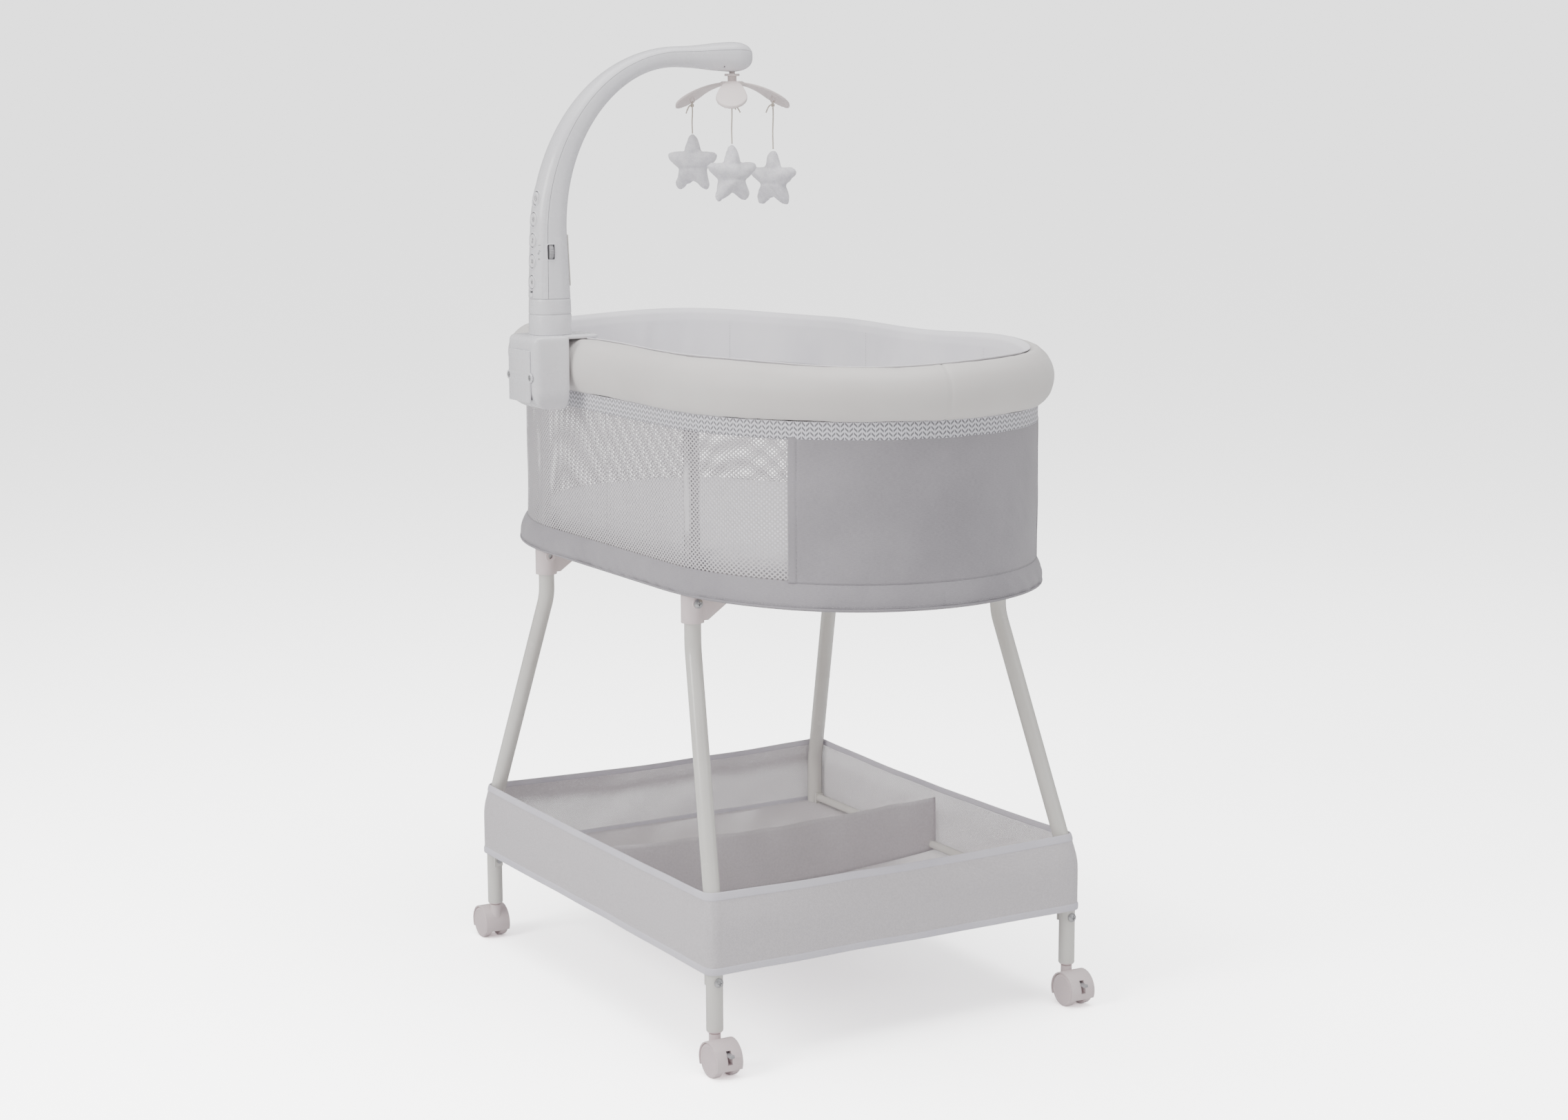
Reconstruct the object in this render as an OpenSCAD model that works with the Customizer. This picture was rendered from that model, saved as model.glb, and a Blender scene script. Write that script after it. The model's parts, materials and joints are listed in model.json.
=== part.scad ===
// Bassinet on a wheeled stand, with a storage basket and a clip-on musical mobile.
// +X runs along the length, +Y across the width, +Z up. The origin is on the floor at the stand's centre.
// The arcs of the plan outline are tangent, so every ring of the bassinet is a parallel of one curve.

/* [Bassinet] */
// Half length of the straight long sides
side_half = 150; // [120:1:165]
// Half width at the mesh wall
wall_half_w = 216; // [200:1:230]
// Half length at the mesh wall
wall_half_l = 404; // [390:1:420]
// Radius of the shoulder arcs between the long sides and the ends
shoulder_r = 294; // [285:1:310]
// Height of the fabric band's lower edge
band_z = 514; // [514:1:516]
// Height of the band around the base frame
band_h = 30; // [26:1:30]
// Height of the printed trim's lower edge
trim_z = 698; // [690:1:704]
// Height of the padded rim's lower edge
rim_z = 716; // [712:1:718]
// Height of the padded rim's crest
crest_z = 778; // [774:1:778]
// Thickness of the mattress pad
pad_t = 28; // [20:1:40]

/* [Stand] */
// Tube diameter
tube_d = 19; // [18.5:0.1:19]
// Wall thickness of the tubes
tube_wall = 1.2; // [1:0.1:1.5]
// Half spacing of the feet along the length
foot_x = 288; // [280:1:296]
// Half spacing of the feet across the width
foot_y = 237; // [230:1:242]
// Half spacing of the leg tops along the length
socket_x = 187; // [180:1:190]
// Half spacing of the leg tops across the width
socket_y = 205; // [204.5:0.1:205.5]
// Height of the lower end of each leg tube
leg_z = 48; // [47:1:50]
// Height of the lower kink of each leg
lower_kink_z = 172; // [165:1:176]
// Height of the upper kink of each leg
upper_kink_z = 456; // [450:1:458]
// Bend radius of the legs
bend_r = 60; // [50:1:70]
// Height of the bolts that hold the two long rails
rail_z = 104; // [103:1:104]

/* [Basket] */
// Height of the basket's lower edge
basket_z = 113; // [113:1:114]
// Height of the basket's walls
basket_h = 90; // [80:1:92]
// Height of the binding tape along both edges
binding_h = 8; // [6:1:10]
// Sag of the basket's floor at its middle
floor_sag = 14; // [5:1:20]
// Height of the divider's top edge
divider_z = 184; // [175:1:190]

/* [Casters] */
// Wheel diameter
wheel_d = 38.5; // [36:0.5:39]
// Width of one wheel
wheel_w = 10.4; // [9:0.1:10.6]
// Distance from the swivel axis to the wheel axis
trail = 13.5; // [12:0.5:15]
// Overall width of a caster
caster_w = 32; // [30:0.5:34]

/* [Mobile] */
// Position of the mobile along the length
arm_x = -80; // [-120:1:-40]
// Distance of the arm's foot from the centre line
arm_y = 245; // [243:1:247]
// Height of the arm's lower end
arm_z = 809; // [808:1:812]
// Height where the arm starts to bend
arm_bend_z = 900; // [890:1:910]
// Rise of the arm's bend
arm_rise = 203; // [190:1:215]
// Reach of the arm's bend
arm_reach = 170; // [160:1:180]
// Length of the arm's level head
head_len = 100; // [98:1:104]
// Wall of the plastic shells
shell_t = 2.2; // [2:0.1:2.6]
// Radius at which the stars hang
hang_r = 56; // [54:1:58]
// Height of a star
star_h = 74; // [60:1:78]

/* [Hidden] */
$fn = 64;
gap = 0.3;
tube_r = tube_d / 2;
spigot = 0.03;

// ---- the plan outline: straight sides, shoulder arcs and end arcs, all tangent ----

shoulder_y = shoulder_r - wall_half_w;
tip_rise = shoulder_r - wall_half_l;
tip_x = (side_half^2 + shoulder_y^2 - tip_rise^2) / (2 * (tip_rise + side_half));
tip_r = wall_half_l - tip_x;
shoulder_a = atan2(tip_x - side_half, shoulder_y);
tip_a = 90 - shoulder_a;

// Round bar bent along the outline: sides and ends are spigots that reach just inside the shoulders
module bent_bar(out, z, r) {
    for (turn = [0, 180])
        rotate(turn) {
            along_x([-side_half - 1, wall_half_w + out, z])
                cylinder(h = 2 * side_half + 2, r = r - spigot);
            for (side = [-1, 1])
                translate([side * side_half, -shoulder_y, z])
                    rotate(side > 0 ? tip_a : 90)
                        rotate_extrude(angle = shoulder_a)
                            translate([shoulder_r + out, 0])
                                circle(r);
            translate([tip_x, 0, z])
                rotate(-tip_a - 0.3)
                    rotate_extrude(angle = 2 * tip_a + 0.6)
                        translate([tip_r + out, 0])
                            circle(r - spigot);
        }
}

// Sweeps a section round the +X end only
module around_tip() {
    translate([tip_x, 0, 0])
        rotate(-tip_a)
            rotate_extrude(angle = 2 * tip_a)
                translate([tip_r, 0])
                    children();
}

function arc(cx, cy, r, a0, a1, steps) =
    [for (i = [0:steps]) let(a = a0 + (a1 - a0) * i / steps) [cx + r * cos(a), cy + r * sin(a)]];

// Outline points of the +X half, at a distance outside the wall; the other half is the same turned round
function half_outline(out) = concat(
    arc(side_half, shoulder_y, shoulder_r + out, -90, -tip_a, 7),
    arc(tip_x, 0, tip_r + out, -tip_a + 6, tip_a - 6, 16),
    arc(side_half, -shoulder_y, shoulder_r + out, tip_a, 90, 7)
);

function outline(out) = let(half = half_outline(out)) concat(half, [for (p = half) -p]);

module plate(out, z, t) {
    translate([0, 0, z])
        linear_extrude(t)
            polygon(outline(out));
}

// Closed ring: a section carried round the whole outline, section x being the distance outside the wall
module ring(section) {
    rows = len(section);
    loops = [for (p = section) outline(p.x)];
    cols = len(loops[0]);
    polyhedron(
        [for (i = [0:rows - 1], p = loops[i]) [p.x, p.y, section[i].y]],
        [for (i = [0:rows - 1], j = [0:cols - 1])
            let(a = i * cols + j, b = i * cols + (j + 1) % cols, next = ((i + 1) % rows - i) * cols)
                each [[a, a + next, b + next], [a, b + next, b]]],
        convexity = 6
    );
}

// Section of an upright strip between two distances and two heights
function strip(in, out, low, high) = [[in, low], [in, high], [out, high], [out, low]];

// ---- general solids ----

// A thick sheet between two grids of points, front and back; wrapped sheets close round each row
module sheet(front, back, wrap = false) {
    rows = len(front);
    cols = len(front[0]);
    last = wrap ? cols - 1 : cols - 2;
    function at(side, i, j) = side * rows * cols + i * cols + j % cols;
    function quad(a, b, c, d) = [[a, b, c], [a, c, d]];
    skin = [
        for (i = [0:rows - 2], j = [0:last])
            each concat(
                quad(at(0, i, j), at(0, i + 1, j), at(0, i + 1, j + 1), at(0, i, j + 1)),
                quad(at(1, i, j), at(1, i, j + 1), at(1, i + 1, j + 1), at(1, i + 1, j))
            )
    ];
    ends = [
        for (j = [0:last])
            each concat(
                quad(at(0, 0, j), at(0, 0, j + 1), at(1, 0, j + 1), at(1, 0, j)),
                quad(at(0, rows - 1, j), at(1, rows - 1, j), at(1, rows - 1, j + 1), at(0, rows - 1, j + 1))
            )
    ];
    sides = wrap ? [] : [
        for (i = [0:rows - 2])
            each concat(
                quad(at(0, i, 0), at(1, i, 0), at(1, i + 1, 0), at(0, i + 1, 0)),
                quad(at(0, i, cols - 1), at(0, i + 1, cols - 1), at(1, i + 1, cols - 1), at(1, i, cols - 1))
            )
    ];
    polyhedron([for (grid = [front, back], row = grid) each row], concat(skin, ends, sides), convexity = 6);
}

// A closed body from a stack of rings, capped at both ends
module stack(rings) {
    rows = len(rings);
    cols = len(rings[0]);
    skin = [
        for (i = [0:rows - 2], j = [0:cols - 1])
            let(a = i * cols + j, b = i * cols + (j + 1) % cols)
                each [[a, a + cols, b + cols], [a, b + cols, b]]
    ];
    bottom = [for (j = [0:cols - 1]) j];
    top = [for (j = [cols - 1:-1:0]) (rows - 1) * cols + j];
    polyhedron([for (ring = rings) each ring], concat(skin, [bottom, top]), convexity = 6);
}

module tube(h, r, wall) {
    difference() {
        cylinder(h = h, r = r);
        translate([0, 0, -1])
            cylinder(h = h + 2, r = r - wall);
    }
}

module along_x(p) {
    translate(p)
        rotate([0, 90, 0])
            children();
}

module along_y(p) {
    translate(p)
        rotate([-90, 0, 0])
            children();
}

// ---- legs and rails ----

leg_span = norm([foot_x - socket_x, foot_y - socket_y]);
leg_turn = atan2(foot_y - socket_y, foot_x - socket_x);
leg_slope = atan2(leg_span, upper_kink_z - lower_kink_z);
bend_len = bend_r * tan(leg_slope / 2);
bend_low_z = lower_kink_z - bend_len;
bend_high_z = upper_kink_z + bend_len;
slant_len = norm([leg_span, upper_kink_z - lower_kink_z]) - 2 * bend_len;
leg_top_z = band_z - 2;
bolt_r = 3;

// Straight foot, bend, slanted length, bend and straight top in one upright plane; the straights are spigots
module leg_path(r, past) {
    translate([leg_span, 0, leg_z - past])
        cylinder(h = bend_low_z - leg_z + past + 1, r = r - spigot);
    translate([leg_span - bend_r, 0, bend_low_z])
        rotate([90, 0, 0])
            rotate_extrude(angle = leg_slope)
                translate([bend_r, 0])
                    circle(r);
    translate([leg_span - bend_r * (1 - cos(leg_slope)), 0, bend_low_z + bend_r * sin(leg_slope)])
        rotate([0, -leg_slope, 0])
            translate([0, 0, -1])
                cylinder(h = slant_len + 2, r = r - spigot);
    translate([bend_r, 0, bend_high_z])
        rotate([0, 180, 0])
            rotate([90, 0, 0])
                rotate_extrude(angle = leg_slope)
                    translate([bend_r, 0])
                        circle(r);
    translate([0, 0, bend_high_z - 1])
        cylinder(h = leg_top_z - bend_high_z + past + 1, r = r - spigot);
}

module leg(sx, sy) {
    color([0.8, 0.8, 0.78])
        difference() {
            translate([sx * socket_x, sy * socket_y, 0])
                rotate(sx > 0 ? sy * leg_turn : 180 - sy * leg_turn)
                    difference() {
                        leg_path(tube_r, 0);
                        leg_path(tube_r - tube_wall, 1);
                    }
            along_x([sx * foot_x - 15, sy * foot_y, rail_z])
                cylinder(h = 30, r = bolt_r + 0.2);
            along_x([sx * socket_x - 15, sy * socket_y, socket_bolt_z])
                cylinder(h = 30, r = bolt_r + 0.2);
        }
}

module leg_front_left() leg(1, 1);
module leg_front_right() leg(1, -1);
module leg_rear_left() leg(-1, 1);
module leg_rear_right() leg(-1, -1);

rail_half = foot_x - tube_r - gap;
rail_r = 5;
// The rails run inside the basket's bottom edge, just above its cloth floor
rail_run_z = basket_z + 5.1 + rail_r;
tab_t = 3;

// Each rail is a rod with a flat tab at each end, and the tab is bolted to the foot below the basket
module side_rails() {
    color([0.8, 0.8, 0.78])
        for (sy = [-1, 1])
            difference() {
                union() {
                    along_x([-rail_half + 0.5, sy * foot_y, rail_run_z])
                        cylinder(h = 2 * rail_half - 1, r = rail_r);
                    for (sx = [-1, 1])
                        translate([sx * (rail_half - tab_t / 2) - tab_t / 2, sy * foot_y - 5.5, rail_z - 7])
                            cube([tab_t, 11, rail_run_z - rail_z + 13]);
                }
                along_x([-rail_half - 1, sy * foot_y, rail_z])
                    cylinder(h = 2 * rail_half + 2, r = bolt_r + 0.1);
            }
}

socket_bolt_z = 506;
socket_r = 13;
boss_r = 6.5;

module pan_bolt(length) {
    difference() {
        intersection() {
            translate([0, 0, -4])
                cylinder(h = 7.2, r = 5.3);
            translate([0, 0, -4])
                sphere(r = 7.6);
        }
        translate([0, 0, -5])
            cylinder(h = 5, r = 8);
        for (turn = [0, 90])
            rotate(turn)
                translate([-2.6, -0.6, 1.7])
                    cube([5.2, 1.2, 3]);
    }
    translate([0, 0, -length])
        cylinder(h = length, r = bolt_r);
}

module frame_bolts() {
    color("silver")
        for (sx = [-1, 1], sy = [-1, 1]) {
            translate([sx * (foot_x + tube_r), sy * foot_y, rail_z])
                rotate([0, sx * 90, 0])
                    pan_bolt(25);
            translate([sx * (socket_x + socket_r + 0.4), sy * socket_y, socket_bolt_z])
                rotate([0, sx * 90, 0])
                    pan_bolt(2 * socket_r - 2);
        }
}

socket_z = 483;
socket_top = 519;
gusset_len = 34;

module leg_sockets() {
    color([0.88, 0.83, 0.84])
        for (sx = [-1, 1], sy = [-1, 1])
            translate([sx * socket_x, sy * socket_y, 0])
                difference() {
                    union() {
                        translate([0, 0, socket_z])
                            cylinder(h = socket_top - socket_z, r = socket_r);
                        translate([-socket_r + 2, 0, 0])
                            rotate([90, 0, 90])
                                linear_extrude(2 * socket_r - 4)
                                    polygon([
                                        [0, socket_z + 3],
                                        [-sy * (socket_r + 1), socket_z + 3],
                                        [-sy * (socket_r + gusset_len), band_z - 5],
                                        [-sy * (socket_r + gusset_len), band_z],
                                        [0, band_z]
                                    ]);
                        along_x([0, 0, socket_bolt_z])
                            cylinder(h = 2 * socket_r + 0.8, r = boss_r, center = true);
                    }
                    translate([0, 0, socket_z - 1])
                        cylinder(h = leg_top_z + gap - socket_z + 1, r = tube_r + 0.05);
                    along_x([-socket_r - 2, 0, socket_bolt_z])
                        cylinder(h = 2 * socket_r + 4, r = bolt_r + 0.1);
                }
}

bar_r = 7.5;
bar_z = band_z + bar_r + gap;

module cross_bars() {
    color([0.8, 0.8, 0.78])
        for (sx = [-1, 1])
            along_y([sx * socket_x, -(socket_y - socket_r - 1), bar_z])
                tube(2 * (socket_y - socket_r - 1), bar_r, tube_wall);
}

stem_r = 4;
sleeve_top = leg_z + 38;

module caster_sleeves() {
    color([0.88, 0.83, 0.84])
        for (sx = [-1, 1], sy = [-1, 1])
            translate([sx * foot_x, sy * foot_y, 0])
                difference() {
                    union() {
                        translate([0, 0, leg_z - 1.4])
                            cylinder(h = 1.3, r = tube_r - 0.8);
                        translate([0, 0, leg_z - 1.4])
                            cylinder(h = sleeve_top - leg_z + 1.4, r = tube_r - tube_wall - 0.1);
                    }
                    translate([0, 0, leg_z - 2])
                        cylinder(h = sleeve_top - leg_z - 1, r = stem_r + 0.06);
                }
}

// ---- the bassinet's frame ----

frame_out = -9;
frame_r = 8;
lower_frame_z = socket_top + frame_r + gap;
upper_frame_out = -3;
upper_frame_z = 746;
post_r = 6.3;

module lower_frame() {
    color([0.8, 0.8, 0.78])
        bent_bar(frame_out, lower_frame_z, frame_r);
}

module upper_frame() {
    color([0.8, 0.8, 0.78])
        bent_bar(upper_frame_out, upper_frame_z, frame_r);
}

post_low = lower_frame_z + frame_r + gap;
post_high = upper_frame_z - frame_r - gap;

module corner_posts() {
    color([0.8, 0.8, 0.78])
        for (sx = [-1, 1], sy = [-1, 1])
            translate([sx * socket_x, sy * socket_y, post_low])
                tube(post_high - post_low, post_r, tube_wall);
}

board_out = -19;
board_z = bar_z + bar_r + gap;
board_t = 4;
pad_z = board_z + board_t + gap;

module base_board() {
    color([0.75, 0.7, 0.62])
        plate(board_out, board_z, board_t);
}

module mattress_pad() {
    color([0.93, 0.92, 0.94])
        plate(board_out - 1, pad_z, pad_t);
}

// ---- the bassinet's fabric ----

cloth_t = 1.3;
band_top = band_z + band_h;

module lower_band() {
    color([0.61, 0.6, 0.62])
        difference() {
            ring([
                [-3, band_z], [-3, band_z + 1.5], [5, band_z + 2.2], [6.8, band_z + 6], [6.6, band_z + 14.6],
                [2.8, band_z + 25], [-1.2, band_top - 0.2], [0.4, band_top], [4.6, band_z + 26],
                [8.2, band_z + 15], [8.4, band_z + 5], [6, band_z + 0.6]
            ]);
            for (sx = [-1, 1], sy = [-1, 1])
                translate([sx * socket_x, sy * socket_y, band_z - 10])
                    cylinder(h = socket_top + gap - band_z + 10, r = socket_r + gap);
        }
}

module mesh_wall() {
    color([0.92, 0.91, 0.94, 0.6])
        ring(strip(-cloth_t, 0, band_top + gap, rim_z - gap));
}

module end_panel() {
    color([0.61, 0.6, 0.62])
        around_tip()
            translate([gap, band_top + 2 * gap])
                square([cloth_t, trim_z - band_top - 3 * gap]);
}

module trim_band() {
    color([0.72, 0.71, 0.75])
        ring(strip(gap, gap + cloth_t, trim_z, rim_z - gap));
}

rim_out = 20;
rim_in = -13;

// Foam sleeve slit underneath, wrapped round the upper frame, with pockets for the corner posts
module padded_rim() {
    color([0.87, 0.86, 0.84])
        difference() {
            ring(concat(
                [
                    [upper_frame_out - 0.2, rim_z], [-9, rim_z + 8], [rim_in, rim_z + 22], [rim_in, crest_z - 12],
                    [-9, crest_z - 4], [-3, crest_z], [4, crest_z - 0.6], [13, crest_z - 7],
                    [rim_out - 1, rim_z + 42], [rim_out, rim_z + 28], [17, rim_z + 14], [10, rim_z + 4],
                    [1, rim_z], [upper_frame_out + 0.2, rim_z]
                ],
                arc(upper_frame_out, upper_frame_z, frame_r + 0.7, -88.5, 268.5, 12)
            ));
            for (sx = [-1, 1], sy = [-1, 1])
                translate([sx * socket_x, sy * socket_y, rim_z - 1])
                    cylinder(h = upper_frame_z - rim_z, r = post_r + 0.5);
        }
}

liner_out = -16.8;

module inner_liner() {
    color([0.9, 0.89, 0.92])
        ring(strip(liner_out, liner_out + 1.2, rim_z, crest_z - 10));
}

// ---- the storage basket: its walls follow the legs ----

corner_r = tube_r + 2;
basket_top = basket_z + basket_h;

// How far a leg has moved in from its foot at a height
function leg_shift(z) =
    let(over = z - bend_low_z, arc_h = bend_r * sin(leg_slope))
        over <= 0 ? 0
        : over < arc_h ? bend_r - sqrt(bend_r^2 - over^2)
        : bend_r * (1 - cos(leg_slope)) + (over - arc_h) * tan(leg_slope);

// Rounded rectangle round the legs at a height, moved out by a distance
function basket_ring(z, out) =
    let(
        cx = foot_x - leg_shift(z) * cos(leg_turn),
        cy = foot_y - leg_shift(z) * sin(leg_turn)
    )
        [for (q = [0:3], p = arc(
            cx * (q == 1 || q == 2 ? -1 : 1), cy * (q > 1 ? -1 : 1), corner_r + out, q * 90, q * 90 + 90, 5
        )) [p.x, p.y, z]];

module basket_skin(heights, out, thick) {
    sheet(
        [for (z = heights) basket_ring(z, out)],
        [for (z = heights) basket_ring(z, out - thick)],
        wrap = true
    );
}

module basket_walls() {
    color([0.83, 0.8, 0.82])
        basket_skin(
            [basket_z + binding_h + 0.1, bend_low_z, bend_low_z + 8, bend_low_z + 18, basket_top - binding_h - 0.1],
            0, 1
        );
}

module basket_binding() {
    color([0.9, 0.89, 0.93])
        for (z = [basket_z, basket_top - binding_h])
            basket_skin([z, z + binding_h], 0.8, 1.9);
}

floor_z = basket_z + 3.6;
floor_x = foot_x + corner_r - 2.2;
floor_y = foot_y + corner_r - 2.2;

function sag(x, y) = floor_sag * (1 - (x / floor_x)^2) * (1 - (y / floor_y)^2);

module basket_floor() {
    color([0.83, 0.8, 0.82])
        difference() {
            sheet(
                [for (i = [-6:6]) [for (j = [-5:5])
                    let(x = floor_x * i / 6, y = floor_y * j / 5) [x, y, floor_z - sag(x, y) + 1.2]]],
                [for (i = [-6:6]) [for (j = [-5:5])
                    let(x = floor_x * i / 6, y = floor_y * j / 5) [x, y, floor_z - sag(x, y)]]]
            );
            for (sx = [-1, 1], sy = [-1, 1])
                translate([sx * (foot_x + 4), sy * (foot_y + 4), basket_z - 20])
                    cylinder(h = 40, r = corner_r + 9);
        }
}

divider_half = foot_y + tube_r - 3;

module basket_divider() {
    color([0.85, 0.83, 0.87])
        translate([-0.8, 0, 0])
            rotate([90, 0, 90])
                linear_extrude(1.6)
                    difference() {
                        polygon(concat(
                            [for (j = [-8:8])
                                let(y = divider_half * j / 8) [y, floor_z + 2.6 - sag(0, y)]],
                            [[divider_half, divider_z], [-divider_half, divider_z]]
                        ));
                        for (sy = [-1, 1])
                            translate([sy * foot_y, rail_run_z])
                                circle(rail_r + gap);
                    }
}

// ---- casters ----

wheel_r = wheel_d / 2;
hood_r = 21.5;
web_half = caster_w / 2 - wheel_w - 0.4;
hood_low = 10.5;
pivot_x = trail + 11;
pivot_z = 27;

// Places a caster part at one foot; the wheels trail towards the nearer end of the stand
module at_foot(sx, sy) {
    translate([sx * foot_x, sy * foot_y, 0])
        rotate(sx > 0 ? 0 : 180)
            children();
}

module caster(sx, sy, braked) {
    color([0.9, 0.84, 0.85])
        at_foot(sx, sy)
            difference() {
                union() {
                    translate([trail, 0, wheel_r])
                        rotate([90, 0, 0])
                            cylinder(h = caster_w, r = hood_r, center = true);
                    translate([0, 0, hood_low])
                        cylinder(h = leg_z - 3.6 - hood_low, r = 6.6);
                    cylinder(h = sleeve_top - 4, r = stem_r);
                }
                for (side = [-1, 1])
                    translate([trail, side * (caster_w / 2 + web_half) / 2, wheel_r])
                        rotate([90, 0, 0])
                            cylinder(h = caster_w / 2 - web_half + 0.01, r = wheel_r + 0.6, center = true);
                translate([trail, 0, wheel_r])
                    rotate([90, 0, 0])
                        cylinder(h = caster_w, r = 2.56, center = true);
                translate([-30, -30, -5])
                    cube([90, 60, hood_low + 5]);
                if (braked)
                    translate([pivot_x - 5, -3, 18])
                        cube([30, 6, 15]);
            }
    if (braked)
        color([0.9, 0.84, 0.85])
            at_foot(sx, sy)
                along_y([pivot_x, -web_half + 0.2, pivot_z])
                    cylinder(h = 2 * web_half - 0.4, r = 1.4);
}

module caster_front_left() caster(1, 1, true);
module caster_front_right() caster(1, -1, true);
module caster_rear_left() caster(-1, 1, false);
module caster_rear_right() caster(-1, -1, false);

module wheels(sx, sy) {
    color([0.88, 0.82, 0.83])
        at_foot(sx, sy)
            translate([trail, 0, wheel_r])
                rotate([-90, 0, 0]) {
                    for (side = [-1, 1])
                        rotate([side > 0 ? 0 : 180, 0, 0])
                            translate([0, 0, caster_w / 2 - wheel_w])
                                rotate_extrude()
                                    polygon([
                                        [0, 0], [wheel_r - 1.5, 0], [wheel_r, 1.5], [wheel_r, wheel_w - 2],
                                        [wheel_r - 0.8, wheel_w - 0.5], [wheel_r - 2, wheel_w], [wheel_r - 3.5, wheel_w],
                                        [wheel_r - 4.2, wheel_w - 0.7], [0, wheel_w - 0.7]
                                    ]);
                    cylinder(h = caster_w - 2 * wheel_w + 2, r = 2.5, center = true);
                }
}

module wheels_front_left() wheels(1, 1);
module wheels_front_right() wheels(1, -1);
module wheels_rear_left() wheels(-1, 1);
module wheels_rear_right() wheels(-1, -1);

// A pressed brake tab on a cross pin, reaching out through the hood's slot
module brake(sx, sy) {
    color([0.9, 0.84, 0.85])
        at_foot(sx, sy)
            difference() {
                union() {
                    along_y([pivot_x, -2.7, pivot_z])
                        cylinder(h = 5.4, r = 3.2);
                    translate([pivot_x, -2.7, pivot_z])
                        cube([13.5, 5.4, 2.6]);
                    along_y([pivot_x + 13.5, -2.7, pivot_z + 1.3])
                        cylinder(h = 5.4, r = 1.9);
                }
                along_y([pivot_x, -4, pivot_z])
                    cylinder(h = 8, r = 1.46);
            }
}

module brake_front_left() brake(1, 1);
module brake_front_right() brake(1, -1);

// ---- the mobile's clamp on the rim ----

house_half = 38;
house_y = 284;
house_z = 699;
bridge_z = crest_z + 1.5;
house_top = bridge_z + 5.5;
house_back = wall_half_w + rim_out + 2;
jaw_y = wall_half_w + liner_out - 0.5;
jaw_t = 5;
door_half = 28;
house_corner = 10;
bridge_half = 24;
door_z = 709;
door_h = 60;
ear_z = 738;
cell_r = 7.1;
bay_half = 3 * cell_r + 1.2;

// Plan of the housing with its two front corners rounded
module house_plan() {
    translate([-house_half, -house_y + house_corner])
        square([2 * house_half, house_y - house_corner - house_back]);
    translate([-bridge_half, -house_back - 1])
        square([2 * bridge_half, house_back + 1 - jaw_y + jaw_t]);
    translate([-house_half + house_corner, -house_y])
        square([2 * (house_half - house_corner), 20]);
    for (side = [-1, 1])
        translate([side * (house_half - house_corner), -house_y + house_corner])
            circle(house_corner);
}

// Side view: a box outside the rim, rounded under its front, and a bridge over the crest
module house_side() {
    difference() {
        union() {
            translate([-house_y + 26, house_z])
                square([house_y - 26 - house_back, house_top - house_z]);
            translate([-house_y, house_z + 26])
                square([30, house_top - house_z - 26 - 9]);
            translate([-house_y + 26, house_z + 26])
                circle(26);
            translate([-house_y + 9, house_top - 9])
                circle(9);
            translate([-house_y + 9, house_top - 20])
                square([30, 20]);
            translate([-house_back - 1, bridge_z])
                square([house_back + 1 - jaw_y + jaw_t, house_top - bridge_z]);
        }
        translate([-house_back + 0.01, house_z - 1])
            square([house_back, bridge_z - house_z + 1]);
    }
}

module mount_housing() {
    color([0.89, 0.89, 0.92])
        translate([arm_x, 0, 0])
            difference() {
                intersection() {
                    translate([0, 0, house_z])
                        linear_extrude(house_top - house_z)
                            house_plan();
                    translate([-house_half, 0, 0])
                        rotate([90, 0, 90])
                            linear_extrude(2 * house_half)
                                house_side();
                }
                translate([-bay_half, -house_y - 1, door_z + 3])
                    cube([2 * bay_half, house_y + 1 - house_back - shell_t, door_h - 6]);
                for (side = [-1, 1])
                    along_y([side * door_half, -house_y - 1, ear_z])
                        cylinder(h = 12, r = 1.6);
            }
}

// The inner jaw under the bridge, which grips the rim from inside
module clamp_jaw() {
    color([0.89, 0.89, 0.92])
        translate([arm_x - bridge_half, -jaw_y, bridge_z - 42])
            cube([2 * bridge_half, jaw_t, 41.8]);
}

module battery_door() {
    color([0.89, 0.89, 0.92])
        translate([arm_x, -house_y - shell_t - 0.1, 0])
            rotate([90, 0, 0])
                mirror([0, 0, 1])
                    difference() {
                        linear_extrude(shell_t)
                            difference() {
                                union() {
                                    translate([-door_half, door_z])
                                        square([2 * door_half, door_h]);
                                    for (side = [-1, 1])
                                        translate([side * door_half, ear_z])
                                            circle(5.5);
                                }
                                for (side = [-1, 1])
                                    translate([side * door_half, ear_z])
                                        circle(1.6);
                            }
                        for (side = [-1, 1])
                            translate([side * door_half, ear_z, -0.1])
                                cylinder(h = 1.1, r = 3.4);
                    }
}

module door_screws() {
    color("silver")
        translate([arm_x, -house_y - shell_t - 0.1, 0])
            for (side = [-1, 1])
                along_y([side * door_half, 0, ear_z])
                    difference() {
                        union() {
                            cylinder(h = 0.95, r = 3.2);
                            cylinder(h = 11, r = 1.5);
                        }
                        for (turn = [0, 90])
                            rotate(turn)
                                translate([-2, -0.35, -0.1])
                                    cube([4, 0.7, 0.6]);
                    }
}

module batteries() {
    color([0.55, 0.56, 0.58])
        for (i = [-1:1])
            translate([arm_x + i * (2 * cell_r + 0.5), -house_y + 22, door_z + 4.5]) {
                cylinder(h = 48.5, r = cell_r);
                cylinder(h = 50.5, r = 2.7);
            }
}

// ---- the arm: one section carried up a straight, round a quarter ellipse and along a level head ----

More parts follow.
